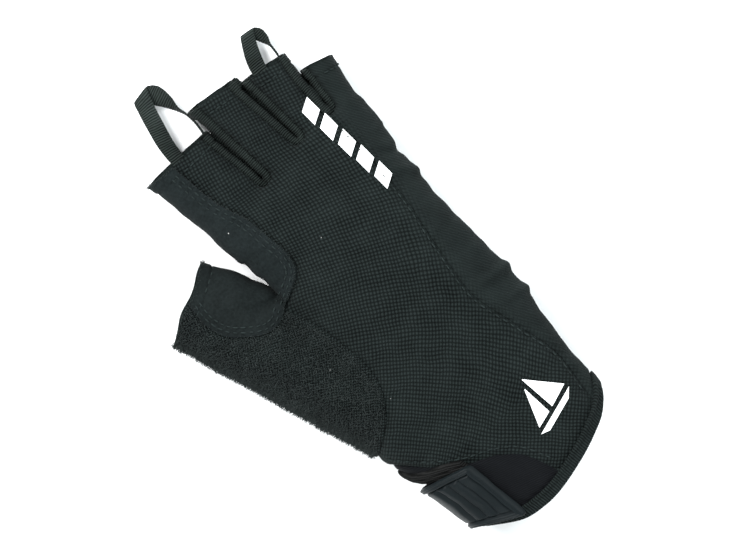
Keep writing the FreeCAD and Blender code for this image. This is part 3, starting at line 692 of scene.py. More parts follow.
def finish(name, deep, high, pattern=None, pitch=1.2, turn=0.0, relief=0.2, nap=2.0, nap_relief=0.04,
           rough=(0.95, 0.78), specular=0.03, dust=0.35, tint=(0.74, 1.0, 0.97), from_object=False,
           fades=False):
    """A material from deep in the weave to the top of its threads: the deep colour is partly the pattern's
    own tone and partly painted shade in the hollows. Relief is in millimetres.
    """
    paint = bpy.data.materials.new(name)
    paint.use_nodes = True
    tree = paint.node_tree
    shader = tree.nodes["Principled BSDF"]
    shader.inputs["Sheen Weight"].default_value = 0.01
    shader.inputs["Sheen Roughness"].default_value = 0.55
    shader.inputs["Specular IOR Level"].default_value = specular
    grain = wire(tree, "ShaderNodeGroup", {"Fine": nap, "Often": 0.25 * dust}, node_tree=NAP)
    if from_object:
        object_place = wire(tree, "ShaderNodeTexCoord").outputs["Object"]
        place = wire(tree, "ShaderNodeVectorMath", {0: object_place, 1: (1000, 1000, 1000)},
            operation="MULTIPLY").outputs[0]
    else:
        place = wire(tree, "ShaderNodeUVMap", uv_map="cloth").outputs[0]
    if pattern:
        made = wire(tree, "ShaderNodeGroup", {"Place": place, "Pitch": pitch}, node_tree=pattern)
        if pattern == RIBS:
            made.inputs["Turn"].default_value = turn
        mask = made.outputs["Mask"]
    else:
        mask = grain.outputs["Nap"]
    if fades:
        lines = wire(tree, "ShaderNodeGroup", {"Place": place, "Pitch": 0.9, "Turn": math.radians(62)},
            node_tree=RIBS)
        faint = sum_of(tree, "MULTIPLY_ADD", lines.outputs["Mask"], 0.3, 0.35)
        share = wire(tree, "ShaderNodeAttribute", attribute_name="mesh_share").outputs["Fac"]
        mask = wire(tree, "ShaderNodeMix", {"Factor": share, 2: faint, 3: mask}).outputs[0]
    # The tone rises with the relief, so the hollows of the knit and nap come out darker: painted shade on top
    # of the pattern's own tone.
    tone = sum_of(tree, "MULTIPLY_ADD", grain.outputs["Cloud"], 0.55, sum_of(tree, "MULTIPLY", mask, 0.72))
    tone = sum_of(tree, "MULTIPLY_ADD", grain.outputs["Nap"], 0.30, sum_of(tree, "SUBTRACT", tone, 0.30))
    colour = wire(tree, "ShaderNodeMix", {"Factor": tone, 6: grey(deep, tint), 7: grey(high, tint)},
        data_type="RGBA")
    lint = sum_of(tree, "MULTIPLY", grain.outputs["Dust"], dust)
    dusty = wire(tree, "ShaderNodeMix", {"Factor": lint, 6: colour.outputs[2], 7: (0.5, 0.5, 0.48, 1)},
        data_type="RGBA")
    tree.links.new(dusty.outputs[2], shader.inputs["Base Color"])
    roughness = wire(tree, "ShaderNodeMapRange", {"Value": tone, "To Min": rough[0], "To Max": rough[1]})
    tree.links.new(roughness.outputs[0], shader.inputs["Roughness"])
    height = sum_of(tree, "MULTIPLY", grain.outputs["Nap"], nap_relief)
    if pattern:
        height = sum_of(tree, "MULTIPLY_ADD", mask, relief, height)
    bump = wire(tree, "ShaderNodeBump", {"Height": height, "Distance": MM, "Strength": 1.0})
    tree.links.new(bump.outputs[0], shader.inputs["Normal"])
    return paint


FINISHES = {
    "back_mesh": finish("back_mesh", 0.004, 0.040, DOTS, 1.25, relief=0.34, fades=True),
    "suede": finish("suede", 0.007, 0.037, nap=1.0, nap_relief=0.16, tint=(0.74, 1.0, 1.03), dust=0.9),
    # thumb_suede is the same suede painted darker: painted shade, because the thumb lies in shadow.
    "thumb_suede": finish("thumb_suede", 0.006, 0.031, nap=1.0, nap_relief=0.16, tint=(0.76, 1.0, 1.0),
    dust=0.9),
    "palm_suede": finish("palm_suede", 0.010, 0.040, nap=1.1, nap_relief=0.12),
    "pad_suede": finish("pad_suede", 0.010, 0.050, DOTS, 2.4, relief=0.22, nap_relief=0.10, from_object=True),
    "terry": finish("terry", 0.000, 0.048, DOTS, 0.95, relief=0.5, nap=1.2, nap_relief=0.5, dust=0.7),
    "wrist_stretch": finish("wrist_stretch", 0.005, 0.013, RIBS, 0.7, turn=math.radians(20), relief=0.05,
    nap_relief=0.02, rough=(0.85, 0.7), tint=(0.84, 0.93, 1.1)),
    "rib_knit": finish("rib_knit", 0.002, 0.052, RIBS, 0.80, relief=0.26, tint=(0.76, 1.0, 0.92)),
    "binding": finish("binding", 0.003, 0.038, RIBS, 0.9, turn=math.radians(84), relief=0.22),
    "slit_binding": finish("slit_binding", 0.003, 0.028, RIBS, 0.9, turn=math.radians(84), relief=0.22,
    tint=(0.95, 0.97, 0.95)),
    "ribbon": finish("ribbon", 0.002, 0.080, RIBS, 0.85, relief=0.16, nap_relief=0.03, rough=(0.75, 0.55),
    tint=(0.78, 1.0, 0.92)),
    "strap_cloth": finish("strap_cloth", 0.008, 0.024, RIBS, 1.0, turn=math.radians(45), relief=0.10),
    "hook_and_loop": finish("hook_and_loop", 0.004, 0.026, DOTS, 1.0, relief=0.5, from_object=True),
    "tab_rubber": finish("tab_rubber", 0.008, 0.018, nap=5.0, nap_relief=0.015, specular=0.08,
    rough=(0.52, 0.40), dust=0.15, tint=(0.62, 0.98, 1.12)),
    "thread": finish("thread", 0.014, 0.070, nap=6.0, nap_relief=0.05, dust=0.0),
    "pile": finish("pile", 0.020, 0.110, nap=3.0, nap_relief=0.02, dust=0.0, tint=(0.82, 1.0, 0.97)),
    "print_white": finish("print_white", 1.5, 1.9, DOTS, 1.25, relief=0.10, nap_relief=0.02,
    rough=(0.6, 0.45), dust=0.0, tint=(0.98, 1.0, 1.0)),
}
print("finishes:", ", ".join(FINISHES))


def dress(piece, finish_name, slot=None):
    piece.data.materials.clear()
    piece.data.materials.append(FINISHES[finish_name])
    slot or finish_name


PANEL_FINISH = {
    "back": "back_mesh", "side": "back_mesh", "index_side": "suede", "thumb_suede": "thumb_suede",
    "terry": "terry",
    "wrist": "wrist_stretch", "palm": "palm_suede", "thumb_palm": "palm_suede", "binding": "binding",
    "gusset_index_middle": "rib_knit", "gusset_middle_ring": "rib_knit", "gusset_ring_little": "rib_knit",
}
for name, finish_name in PANEL_FINISH.items():
    dress(panels[name], finish_name, {"side": "side_lycra", "thumb_suede": "suede"}.get(name))

# %% [markdown]
# ## Strap, rubber tab and bound slit
# These parts lie on the glove, so their points are found with rays. A ray leaves the middle of the wrist,
# and a point is set where the glove's field reaches the wanted height. The parts keep an even thickness on
# folded cloth.
# %% Rays and slabs
def ray(origin, direction, lift, field=glove, reach=46.0):
    """The first point along each ray where the field rises to lift."""
    origin, direction = np.broadcast_arrays(np.asarray(origin, float), np.asarray(direction, float))
    low, high = np.zeros(len(origin)), np.full(len(origin), reach)
    for t in np.arange(4.0, reach, 3.0):
        p = origin + direction * t
        outside = (field(*p.T) > lift) & (high == reach)
        high = np.where(outside, t, high)
    low = high - 3.0
    for _ in range(14):
        t = (low + high) / 2
        above = field(*(origin + direction * t[:, None]).T) > lift
        low, high = np.where(above, low, t), np.where(above, t, high)
    return origin + direction * ((low + high) / 2)[:, None]


WRIST_MIDDLE = (6.0, 16.8)


def round_wrist(angle, y, lift):
    """A point on the wrist at an angle in degrees, anticlockwise from the little finger's side."""
    shape = np.shape(angle)
    a, y, lift = np.radians(np.ravel(angle)), np.ravel(y), np.ravel(lift)
    origin = np.stack([np.full(len(a), WRIST_MIDDLE[0]), y, np.full(len(a), WRIST_MIDDLE[1])], 1)
    direction = np.stack([np.cos(a), np.zeros(len(a)), np.sin(a)], 1)
    return ray(origin, direction, lift).reshape(*shape, 3)


def over_back(x, y, lift):
    """A point on top of the hand above x, y."""
    shape = np.shape(x)
    x, y, lift = np.broadcast_arrays(np.ravel(x), np.ravel(y), np.ravel(lift))
    origin = np.stack([x, y, np.full(len(x), 12.0)], 1)
    return ray(origin, [0, 0, 1.0], lift, reach=28.0).reshape(*shape, 3)


def grid_faces(rows, columns, first=0, flip=False):
    i, j = np.meshgrid(np.arange(rows - 1), np.arange(columns - 1), indexing="ij")
    a = (first + i * columns + j).ravel()
    quads = np.stack([a, a + columns, a + columns + 1, a + 1], 1)
    return quads[:, ::-1] if flip else quads


def slab_faces(rows, columns):
    """The faces of a closed slab: a grid of points over, the same grid under, and walls round the edge."""
    n = rows * columns
    index = np.arange(n).reshape(rows, columns)
    ring = np.concatenate([index[0, :-1], index[:-1, -1], index[-1, :0:-1], index[:0:-1, 0]])
    following = np.roll(ring, -1)
    walls = np.stack([ring, following, following + n, ring + n], 1)[:, ::-1]
    return np.concatenate([grid_faces(rows, columns), grid_faces(rows, columns, n, True), walls])


def slab(name, under, over, uv):
    """A closed slab between two grids of points. Over is the side that is seen."""
    faces = slab_faces(*over.shape[:2])
    points = np.concatenate([over.reshape(-1, 3), under.reshape(-1, 3)])
    piece = make_mesh(name, points, faces, np.concatenate([uv.reshape(-1, 2)] * 2))
    mesh = piece.data
    volume = sum(p.area * (p.center.dot(p.normal)) for p in mesh.polygons)
    if volume < 0:
        mesh.flip_normals()
    print(f"{name}: {len(faces)} faces, {np.ptp(points, axis=0).round(1)} mm")
    return piece


def rounded_rows(rows, columns, long, wide, corner):
    """Even places along and across a strip whose corners at its start are rounded, as 0 to 1 each way."""
    along = long * (np.linspace(0, 1, rows) ** 1.15)[:, None]
    inset = np.clip(corner - along, 0, corner)
    half = wide / 2 - corner + np.sqrt(np.clip(corner ** 2 - inset ** 2, 0, None))
    across = np.linspace(-1, 1, columns)[None, :]
    across = np.sign(across) * (1 - (1 - np.abs(across)) ** 1.25)
    edge_gap = wide / 2 * (1 - np.abs(across)) * half / (wide / 2)
    return np.broadcast_to(along / long, (rows, columns)), 0.5 + across * half / wide, edge_gap


# %% Webbing, hook patch and loop patch
TAB_END, TAB_FOLD = -11.1, -27.2           # X of the strap's free end, and where it turns down the side
FOLD_ANGLE = 186.0
angles = np.linspace(115, 200, 86)
reached = round_wrist(angles, np.full(86, -84.0), np.full(86, 2.9))[:, 0]
END_ANGLE = float(np.interp(-TAB_END, -reached, angles))
print(f"strap: free end at {END_ANGLE:.1f} degrees")


def on_strap(a, across, lift, inset=0.0):
    """A point of the strap: a is 0 at its free end and 1 at the fold, and across runs from 0 to 1."""
    angle = END_ANGLE + (FOLD_ANGLE - END_ANGLE) * a
    share = np.clip((TAB_END - np.interp(angle, angles, reached)) / (TAB_END - TAB_FOLD), -0.2, 1)
    top, bottom = -73.3 + 4.9 * share, -99.8 + 9.1 * share
    y = (top - inset) * (1 - across) + (bottom + inset) * across
    lean = 2.4 * (across - 0.5) * np.clip(1 - a, 0, 1)
    return round_wrist(angle - lean, y, lift)


def strip(name, from_a, to_a, inset, low, high, rows, columns, corner, edge=0.5, under_palm=False):
    s, across, edge_gap = rounded_rows(rows, columns, (to_a - from_a) * 27, 24 - 2 * inset, corner)
    a = from_a + (to_a - from_a) * s
    side_gap = np.minimum(edge_gap, s * (to_a - from_a) * 27)
    round_off = (high - low) * 0.45 * (1
        - np.sqrt(np.clip(1 - (1 - np.clip(side_gap / edge, 0, 1)) ** 2, 0, 1)))
    sunk = 1.0 - 0.75 * step_up(a, 1.35, 2.0) if under_palm else 1.0
    over = on_strap(a, across, (high - round_off) * sunk, inset)
    under = on_strap(a, across, low * sunk, inset)
    for grid in (over, under):
        grid[..., 2] = np.maximum(grid[..., 2], 0.5)
    uv = np.stack([a * 27, across * 24], -1)
    return slab(name, under, over, uv)


webbing = strip("closure_webbing", 0.05, 2.1, 0.5, 1.3, 2.05, 90, 26, 1.2, under_palm=True)
loop_patch = strip("loop_fastener", 0.10, 0.74, 1.6, 0.1, 0.7, 26, 24, 1.6)
hook_patch = strip("hook_fastener", 0.12, 0.72, 2.0, 0.73, 1.27, 26, 24, 1.6)

# %% [markdown]
# The rubber tab covers the strap's end. Its face is a height map: a rounded rim, a groove inside it, a flat
# field and three long swells near the fold, each behind a thin groove, which give the fingers a grip.
# %% Rubber tab
rows, columns = 130, 80
s, across, edge_gap = rounded_rows(rows, columns, 31.0, 24.4, 1.6)
a = s * 1.18
end_gap = s * 31.0
gap = np.minimum(edge_gap, end_gap)
rim_height = 0.5 * (1 - step_up(gap, 2.0, 2.5)) - 0.50 * np.exp(-((gap - 2.75) / 0.36) ** 2)
rim_height = rim_height - 0.16 * np.exp(-((gap - 1.15) / 0.18) ** 2)
rim_height *= 1 - 0.85 * step_up(a, 0.86, 1.02)
reach_x = np.interp(END_ANGLE + (FOLD_ANGLE - END_ANGLE) * a, angles, reached)
toward_fold = (TAB_END - reach_x) / (TAB_END - TAB_FOLD)
grip = np.zeros_like(a)
for crest in (0.46, 0.69, 0.90):
    crest = crest - 0.05 * np.sin(math.pi * across)
    on_top = (1 - step_up(a, 0.78, 0.92)) * step_up(gap, 2.9, 3.8)
    grip += 0.38 * step_up(toward_fold - crest, -0.015,
        0.03) * (1 - step_up(toward_fold - crest, 0.03, 0.19)) * on_top
    grip -= 0.65 * np.exp(-((toward_fold - crest + 0.03) / 0.024) ** 2) * on_top
rolled = 0.9 * (1 - np.sqrt(np.clip(1 - (1 - np.clip(gap / 0.8, 0, 1)) ** 2, 0, 1)))
tab_over = on_strap(a, across, 3.05 + rim_height + grip - rolled)
tab_under = on_strap(a, across, np.full_like(a, 2.1))
for grid in (tab_over, tab_under):
    grid[..., 2] = np.maximum(grid[..., 2], 0.5)
tab = slab("rubber_tab", tab_under, tab_over, np.stack([a * 27, across * 24], -1))

# %% Bound slit beside the wrist
rows, columns = 70, 34
s, across = np.meshgrid(np.linspace(0, 1, rows), np.linspace(-1, 1, columns), indexing="ij")
slit_angle = 187 - 41 * s
slit_y = -61.0 - 11.5 * s + 3.1 * across * (1 - 0.2 * s)
crown = np.sqrt(np.clip(1 - np.abs(across) ** 2.6, 0, 1))
two_lips = 0.55 * np.exp(-((across - 0.05) / 0.13) ** 2) + 0.35 * np.exp(-((across + 0.55) / 0.10) ** 2)
slit_lift = 0.2 + 1.5 * crown - two_lips + 0.10 * np.sin(2 * np.pi * s * 26 / 0.9)
slit_over = round_wrist(slit_angle, slit_y, slit_lift * (1 - 0.35 * s))
slit_under = round_wrist(slit_angle, slit_y, np.full_like(s, -0.6))
slit_tape = slab("slit_tape", slit_under, slit_over, np.stack([across * 3, s * 30], -1))

# %% [markdown]
# ## Pull loops
# A ribbon leaves the palm side of a finger, folds over at its far end along a slanting crease, and comes
# back showing its inner face, rolling until it stands on edge. A folded ribbon is easiest to draw by its
# two edges: each row below is one straight line across it, and the rows close to each other make the
# crease.
# %% Ribbons drawn by their two edges
def ribbon(name, rows, thick=0.7):
    rows = np.array(rows, float)
    centre = (rows[:, :3] + rows[:, 3:]) / 2
    knots = np.r_[0, np.cumsum(np.linalg.norm(np.diff(centre, axis=0), axis=1))]
    run = np.linspace(0, knots[-1], int(knots[-1] / 0.3))
    edges = np.stack([through(knots, rows[:, k])(run) for k in range(6)], 1)
    across = np.linspace(0, 1, 12)
    middle = edges[:, None, :3] * (1 - across)[None, :, None] + edges[:, None, 3:] * across[None, :, None]
    t = np.gradient(middle, axis=0)
    w = np.gradient(middle, axis=1)
    normal = np.cross(w, t)
    normal /= np.maximum(np.linalg.norm(normal, axis=2), 1e-6)[..., None]
    hem = 2 * np.abs(across - 0.5)
    rib = 0.06 * np.sin(2 * np.pi * run / 0.95)
    half = (thick / 2 * (1 - 0.5 * hem ** 6))[None, :] + rib[:, None]
    over, under = middle + normal * half[..., None], middle - normal * half[..., None]
    print(f"{name}: {len(run)} steps, heights {over[..., 2].min():.1f} to {over[..., 2].max():.1f} mm")
    uv = np.stack(np.broadcast_arrays(across[None, :] * 5.2, run[:, None]), -1)
    return slab(name, under, over, uv)


index_ribbon = ribbon("index_ribbon", [
    (-11.9, 64, 3.4, -6.6, 64, 3.4), (-11.5, 73, 3.5, -6.2, 72.5, 3.5), (-10.9, 80.2, 4.0, -5.4, 78.5, 4.0),
    (-8.8, 89, 4.8, -3.0, 87, 4.8), (-6.8, 95.5, 5.3, -0.4, 95.0, 5.4), (-5.8, 98.3, 5.4, 1.3, 99.2, 5.6),
    (-5.4, 98.9, 4.9, 1.8, 99.9, 5.0), (-4.6, 98.0, 4.3, 2.9, 99.4, 4.6), (-2.2, 95.0, 3.3, 4.7, 97.3, 4.9),
    (1.1, 90.4, 2.4, 5.2, 91.5, 5.6), (3.4, 86.2, 1.8, 4.4, 86.6, 6.6), (4.5, 83.6, 1.6, 4.8, 84.0, 6.4),
    (4.8, 81.5, 1.6, 5.1, 81.5, 6.0), (4.4, 76, 2.0, 4.8, 76, 5.6), (2.4, 69, 2.4, 2.8, 69, 5.4),
])
ring_ribbon = ribbon("ring_ribbon", [
    (30.6, 64, 3.5, 35.8, 64, 3.5), (30.9, 73, 3.7, 36.1, 72.5, 3.7), (31.4, 77.5, 4.1, 37.2, 76.8, 4.1),
    (33.2, 82.3, 4.7, 39.2, 81.6, 4.8), (35.7, 86.4, 5.2, 41.3, 85.6, 5.3),
    (36.9, 88.2, 5.3, 42.3, 87.3, 5.4),
    (37.6, 88.9, 4.9, 43.0, 87.9, 4.9), (38.4, 88.3, 4.3, 43.8, 87.4, 4.5),
    (39.8, 86.0, 3.5, 44.8, 85.6, 4.9),
    (41.5, 82.5, 2.6, 44.4, 82.3, 5.8), (42.7, 79.6, 2.0, 43.2, 79.8, 6.2),
    (42.5, 76.9, 1.8, 42.8, 77.0, 6.2),
    (41.8, 73.4, 1.8, 42.1, 73.4, 5.9), (40.4, 66, 2.2, 40.8, 66, 5.4),
])

# %% [markdown]
# ## Printed marks
# The print on the real glove is replaced by plain slanted bars along the side and a little boat at the
# cuff. Each is a film half a millimetre thick, draped on the cloth below it, so it takes on the
# folds and the knit.
# %% Films
def film(name, shapes, step=0.4):
    all_points, all_faces, first = [], [], 0
    for a, b, c, d in np.array(shapes, float):
        rows = max(3, int(max(np.linalg.norm(b - a), np.linalg.norm(c - d)) / step))
        columns = max(3, int(max(np.linalg.norm(d - a), np.linalg.norm(c - b)) / step))
        s, t = np.meshgrid(np.linspace(0, 1, rows), np.linspace(0, 1, columns), indexing="ij")
        s, t = s[..., None], t[..., None]
        flat = ((1 - s) * (1 - t)) * a + (s * (1 - t)) * b + (s * t) * c + ((1 - s) * t) * d
        over = over_back(flat[..., 0], flat[..., 1], np.full(flat.shape[:2], 0.42))
        under = over - [0, 0, 0.5]
        all_faces.append(slab_faces(rows, columns) + first)
        all_points += [over.reshape(-1, 3), under.reshape(-1, 3)]
        first += 2 * rows * columns
    points = np.concatenate(all_points)
    piece = make_mesh(name, points, np.concatenate(all_faces), points[:, :2])
    print(f"{name}: {len(points)} points")
    return piece


BAR_LONG, BAR_RISE, BAR_WIDE = 6.4, 2.6, 5.0
bars = []
for start in (14.2, 22.6, 31.0, 39.4, 47.8):
    left = 38.9 - 0.06 * start - 2.2
    bars.append([(left, start), (left + BAR_WIDE, start + BAR_RISE),
        (left + BAR_WIDE, start + BAR_RISE + BAR_LONG), (left, start + BAR_LONG)])
side_bars = film("side_bars", bars)
boat = film("boat", [
    [(23.0, -79.5), (31.5, -77.0), (22.2, -65.5), (22.0, -65.6)],
    [(21.0, -80.0), (20.5, -68.5), (20.2, -68.6), (14.6, -81.6)],
    [(13.4, -83.6), (32.0, -78.8), (29.0, -81.6), (16.6, -84.8)],
])

for piece, name, slot in (
    (webbing, "strap_cloth", None), (loop_patch, "hook_and_loop", None),
    (hook_patch, "hook_and_loop", None), (tab, "tab_rubber", None),
    (slit_tape, "slit_binding", "binding"), (index_ribbon, "ribbon", None), (ring_ribbon, "ribbon", None),
    (side_bars, "print_white", None), (boat, "print_white", None),
):
    dress(piece, name, slot)

# %% [markdown]
# ## Stitches and pile
# One Geometry Nodes group sets a small shape on every point of a row, turned along the row and off the
# cloth. Its inputs are the shape's size, how unevenly it stands, a seed and a material. Rows come from the
# seams themselves, so a row of stitches stays at an even distance from its seam.
# %% The stamping group
def stamp_group(name, fibre):
    tree, given, out = group_tree(name, "GeometryNodeTree", [
        ("Geometry", "INPUT", "NodeSocketGeometry", None), ("Length", "INPUT", "NodeSocketFloat", 0.002),
        ("Width", "INPUT", "NodeSocketFloat", 0.0004), ("Jitter", "INPUT", "NodeSocketFloat", 0.1),
        ("Seed", "INPUT", "NodeSocketInt", 7), ("Material", "INPUT", "NodeSocketMaterial", None),
        ("Geometry", "OUTPUT", "NodeSocketGeometry", None),
    ])
    if fibre:
        shape = wire(tree, "GeometryNodeMeshCone",
            {"Vertices": 3, "Side Segments": 3, "Radius Top": 0.25, "Radius Bottom": 0.5, "Depth": 1.0},
            fill_type="NONE")
        place = wire(tree, "GeometryNodeInputPosition").outputs[0]
        high = wire(tree, "ShaderNodeSeparateXYZ", {0: place}).outputs["Z"]
        bend = sum_of(tree, "MULTIPLY", sum_of(tree, "MULTIPLY", high, high), 2.6)
        offset = wire(tree, "ShaderNodeCombineXYZ", {"X": bend}).outputs[0]
        shape = wire(tree, "GeometryNodeSetPosition", {"Geometry": shape.outputs[0], "Offset": offset})
        scale = wire(tree, "ShaderNodeCombineXYZ",
            {"X": given["Width"], "Y": given["Width"], "Z": given["Length"]})
    else:
        shape = wire(tree, "GeometryNodeMeshUVSphere", {"Segments": 6, "Rings": 4, "Radius": 0.5})
        scale = wire(tree, "ShaderNodeCombineXYZ",
            {"X": given["Length"], "Y": given["Width"], "Z": given["Width"]})
    sized = wire(tree, "GeometryNodeTransform", {"Geometry": shape.outputs[0], "Scale": scale.outputs[0]})
    along = wire(tree, "GeometryNodeInputNamedAttribute", {"Name": "along"},
        data_type="FLOAT_VECTOR").outputs[0]
    up = wire(tree, "GeometryNodeInputNamedAttribute", {"Name": "up"}, data_type="FLOAT_VECTOR").outputs[0]
    first, second = (("Z", up), ("X", along)) if fibre else (("X", along), ("Z", up))
    turned = wire(tree, "FunctionNodeAlignRotationToVector", {"Vector": first[1]}, axis=first[0])
    turned = wire(tree, "FunctionNodeAlignRotationToVector",
        {"Rotation": turned.outputs[0], "Vector": second[1]}, axis=second[0], pivot_axis=first[0])
    low = wire(tree, "ShaderNodeMath", {0: given["Jitter"], 1: -1.0}, operation="MULTIPLY").outputs[0]
    random = wire(tree, "FunctionNodeRandomValue", {"Seed": given["Seed"]}, data_type="FLOAT_VECTOR")
    tree.links.new(low, random.inputs[0])
    tree.links.new(given["Jitter"], random.inputs[1])
    tilt = wire(tree, "FunctionNodeEulerToRotation", {0: random.outputs[0]})
    tilted = wire(tree, "FunctionNodeRotateRotation", {0: turned.outputs[0], 1: tilt.outputs[0]},
        rotation_space="LOCAL")
    size = wire(tree, "FunctionNodeRandomValue", {"Seed": given["Seed"]}, data_type="FLOAT")
    size.inputs[2].default_value, size.inputs[3].default_value = 0.75, 1.2
    points = wire(tree, "GeometryNodeMeshToPoints", {"Mesh": given["Geometry"]})
    stamped = wire(tree, "GeometryNodeInstanceOnPoints", {
        "Points": points.outputs[0], "Instance": sized.outputs[0], "Rotation": tilted.outputs[0],
        "Scale": size.outputs[1],
    })
    real = wire(tree, "GeometryNodeRealizeInstances", {"Geometry": stamped.outputs[0]})
    smooth = wire(tree, "GeometryNodeSetShadeSmooth", {"Geometry": real.outputs[0]})
    painted = wire(tree, "GeometryNodeSetMaterial",
        {"Geometry": smooth.outputs[0], "Material": given["Material"]})
    tree.links.new(painted.outputs[0], out["Geometry"])
    return tree


STITCHES, FIBRES = stamp_group("stamp_stitches", False), stamp_group("stamp_fibres", True)


def stamp(name, group, points, along, up, length, width, jitter, seed, finish_name, slot="suede"):
    mesh = bpy.data.meshes.new(name)
    mesh.from_pydata((points * MM).tolist(), [], [])
    for label, values in (("along", along), ("up", up)):
        attribute = mesh.attributes.new(label, "FLOAT_VECTOR", "POINT")
        attribute.data.foreach_set("vector", np.ascontiguousarray(values, dtype=np.float32).ravel())
    piece = bpy.data.objects.new(name, mesh)
    bpy.context.scene.collection.objects.link(piece)
    modifier = piece.modifiers.new("stamp", "NODES")
    modifier.node_group = group
    values = {"Length": length * MM, "Width": width * MM, "Jitter": jitter, "Seed": seed,
        "Material": FINISHES[finish_name]}
    for item in group.interface.items_tree:
        if item.in_out == "INPUT" and item.name in values:
            modifier[item.identifier] = values[item.name]
    ready = piece.evaluated_get(bpy.context.evaluated_depsgraph_get())
    baked = bpy.data.meshes.new_from_object(ready)
    piece.modifiers.clear()
    piece.data = baked
    baked.materials.clear()
    baked.materials.append(FINISHES[finish_name])
    print(f"{name}: {len(points)} stamps, {len(baked.polygons)} faces")
    return piece


# %% [markdown]
# A row is a line of points with a direction. Suede is sewn down with two rows beside its edge, hems with
# one row where the fold of the cloth ends. Rows on the thumb are kept apart, in a piece of their own.
# %% Rows of stitches
def row_beside(points, offset, step=3.0, lift=0.78, below=200):
    """A row on top of the hand beside a seam: an offset to the right of the walk is positive."""
    line = smooth_path(points, step)
    t = np.gradient(line, axis=0)
    t /= np.linalg.norm(t, axis=1)[:, None]
    flat = line + offset * np.stack([t[:, 1], -t[:, 0]], 1)
    on = over_back(flat[:, 0], flat[:, 1], np.full(len(flat), lift))
    fine = (on[:, 2] > 12) & (on[:, 2] < 36) & (flat[:, 1] < below)
    fine &= (mouth_field(*on.T) < -1.0) & (thumb_mouth_field(*on.T) < -1.0)
    return on[fine], np.concatenate([t, np.zeros((len(t), 1))], 1)[fine]


def row_round(rows, hem_at, lift):
    """A row round a stub, a hem's width back from its edge."""
    angle = np.linspace(0, 2 * np.pi, 26, endpoint=False)
    stations = np.array(rows, float)
    left, right, low, high = (through(stations[:, 0], stations[:, k])(hem_at) for k in range(1, 5))
    cx, cz = (left + right) / 2, (low + high) / 2
    wide, tall = (right - left) / 2 + lift, (high - low) / 2 + lift
    cos, sin = np.cos(angle), np.sin(angle)
    r = (np.abs(cos / wide) ** 2.3 + np.abs(sin / tall) ** 2.3) ** (-1 / 2.3)
    return cx + r * cos, cz + r * sin


def gather(parts):
    """Rows joined, with the way off the cloth."""
    points, along = (np.concatenate([part[k] for part in parts]) for k in (0, 1))
    up = slope_of(glove, points)
    up /= np.linalg.norm(up, axis=1)[:, None]
    return points, along, up


parts = [row_beside(SUEDE_EDGE, offset) for offset in (1.6, 3.4)]
parts += [row_beside([(-31, -54), (-21.3, -64.4), (-11.7, -71.9), (-2.9, -76.3), (4.1, -82.2),
    (8.6, -91.4)], -1.2, lift=0.15)]
parts += [row_beside([(43.2, 60), (41.4, 50), (40.0, 30), (38.5, 9), (34.4, -12), (31.2, -33.6),
    (34.4, -50), (37.8, -67.7), (36.0, -82)], 1.3, lift=0.2)]
hem_points = []
for name, (hem_x, hem_y, hem_slope) in MOUTHS.items():
    x, z = row_round(FINGERS[name], hem_y - 4.0, 0.12)
    y = hem_y + hem_slope * (x - hem_x) + 2.6 * (1 - z / 22) - 4.0
    p = np.stack([x, y, z], 1)
    t = np.roll(p, -1, axis=0) - np.roll(p, 1, axis=0)
    clear = np.array([np.abs(x - line[-2][0]) for line in SLITS.values()]).min(0) > 3.6
    hem_points.append((p[clear], t[clear]))
parts += hem_points
points_all, along_all, up_all = gather(parts)
across, back = thumb_place(points_all[:, 0], points_all[:, 1])
on_thumb = (suede_seam(points_all[:, 0],
    points_all[:, 1]) > 0) & (thumb_field(*points_all.T) < hand_and_fingers(*points_all.T))
glove_stitches = stamp("glove_stitches", STITCHES, points_all[~on_thumb], along_all[~on_thumb],
    up_all[~on_thumb], 2.1, 0.55, 0.06, 11, "thread")
thumb_rows = [(points_all[on_thumb], along_all[on_thumb])]
angle = np.linspace(0, 2 * np.pi, 26, endpoint=False)
cross, height = row_round(THUMB, 4.0, 0.3)
back = 4.0 - 1.8 * (1 - height / 22)
cos, sin = math.cos(THUMB_LEAN), math.sin(THUMB_LEAN)
p = np.stack([THUMB_TIP[0] + cross * cos + back * sin, THUMB_TIP[1] + cross * sin - back * cos, height], 1)
thumb_rows.append((p, np.roll(p, -1, axis=0) - np.roll(p, 1, axis=0)))
points_all, along_all, up_all = gather(thumb_rows)
thumb_stitches = stamp("thumb_stitches", STITCHES, points_all, along_all, up_all, 2.1, 0.55, 0.06, 12,
    "thread")

# %% [markdown]
# Terry is a field of loops. Short bent fibres with a fixed seed break its outline and catch light one by
# one. The cut edges of the suede carry a shorter fringe of the same fibres.
# %% Pile and cut edges
random = np.random.default_rng(4)


def pick(name, count, keep):
    outer, out, seam = shells[name]
    good = np.flatnonzero(keep(outer, seam))
    chosen = random.choice(good, min(count, len(good)), replace=False)
    lean = random.normal(size=(len(chosen), 3))
    base = outer[chosen] + random.uniform(-0.3, 0.3, (len(chosen), 3)) - out[chosen] * 0.1
    up = out[chosen] + 0.45 * random.normal(size=(len(chosen), 3))
    return base, lean, up / np.linalg.norm(up, axis=1)[:, None]


PILE = 14000
pile = stamp("terry_pile", FIBRES, *pick("terry", PILE, lambda p, seam: (p[:, 2] > 3) & (seam > 0.8)), 1.2,
    0.27, 0.6, 21, "pile", "terry")
thumb_fringe = stamp("thumb_fringe", FIBRES,
    *pick("thumb_suede", 900, lambda p,
    seam: ((seam < 0.3) | (-thumb_mouth_field(*p.T) < 0.6)) & (p[:, 2] > 3)), 0.9, 0.2, 0.7, 22, "pile")
suede_fringe = stamp("suede_fringe", FIBRES,
    *pick("index_side", 1300, lambda p, seam: ((seam < 0.3) | (-mouth_field(*p.T) < 0.6)) & (p[:, 2] > 3)),
    0.9, 0.2, 0.7, 23, "pile")

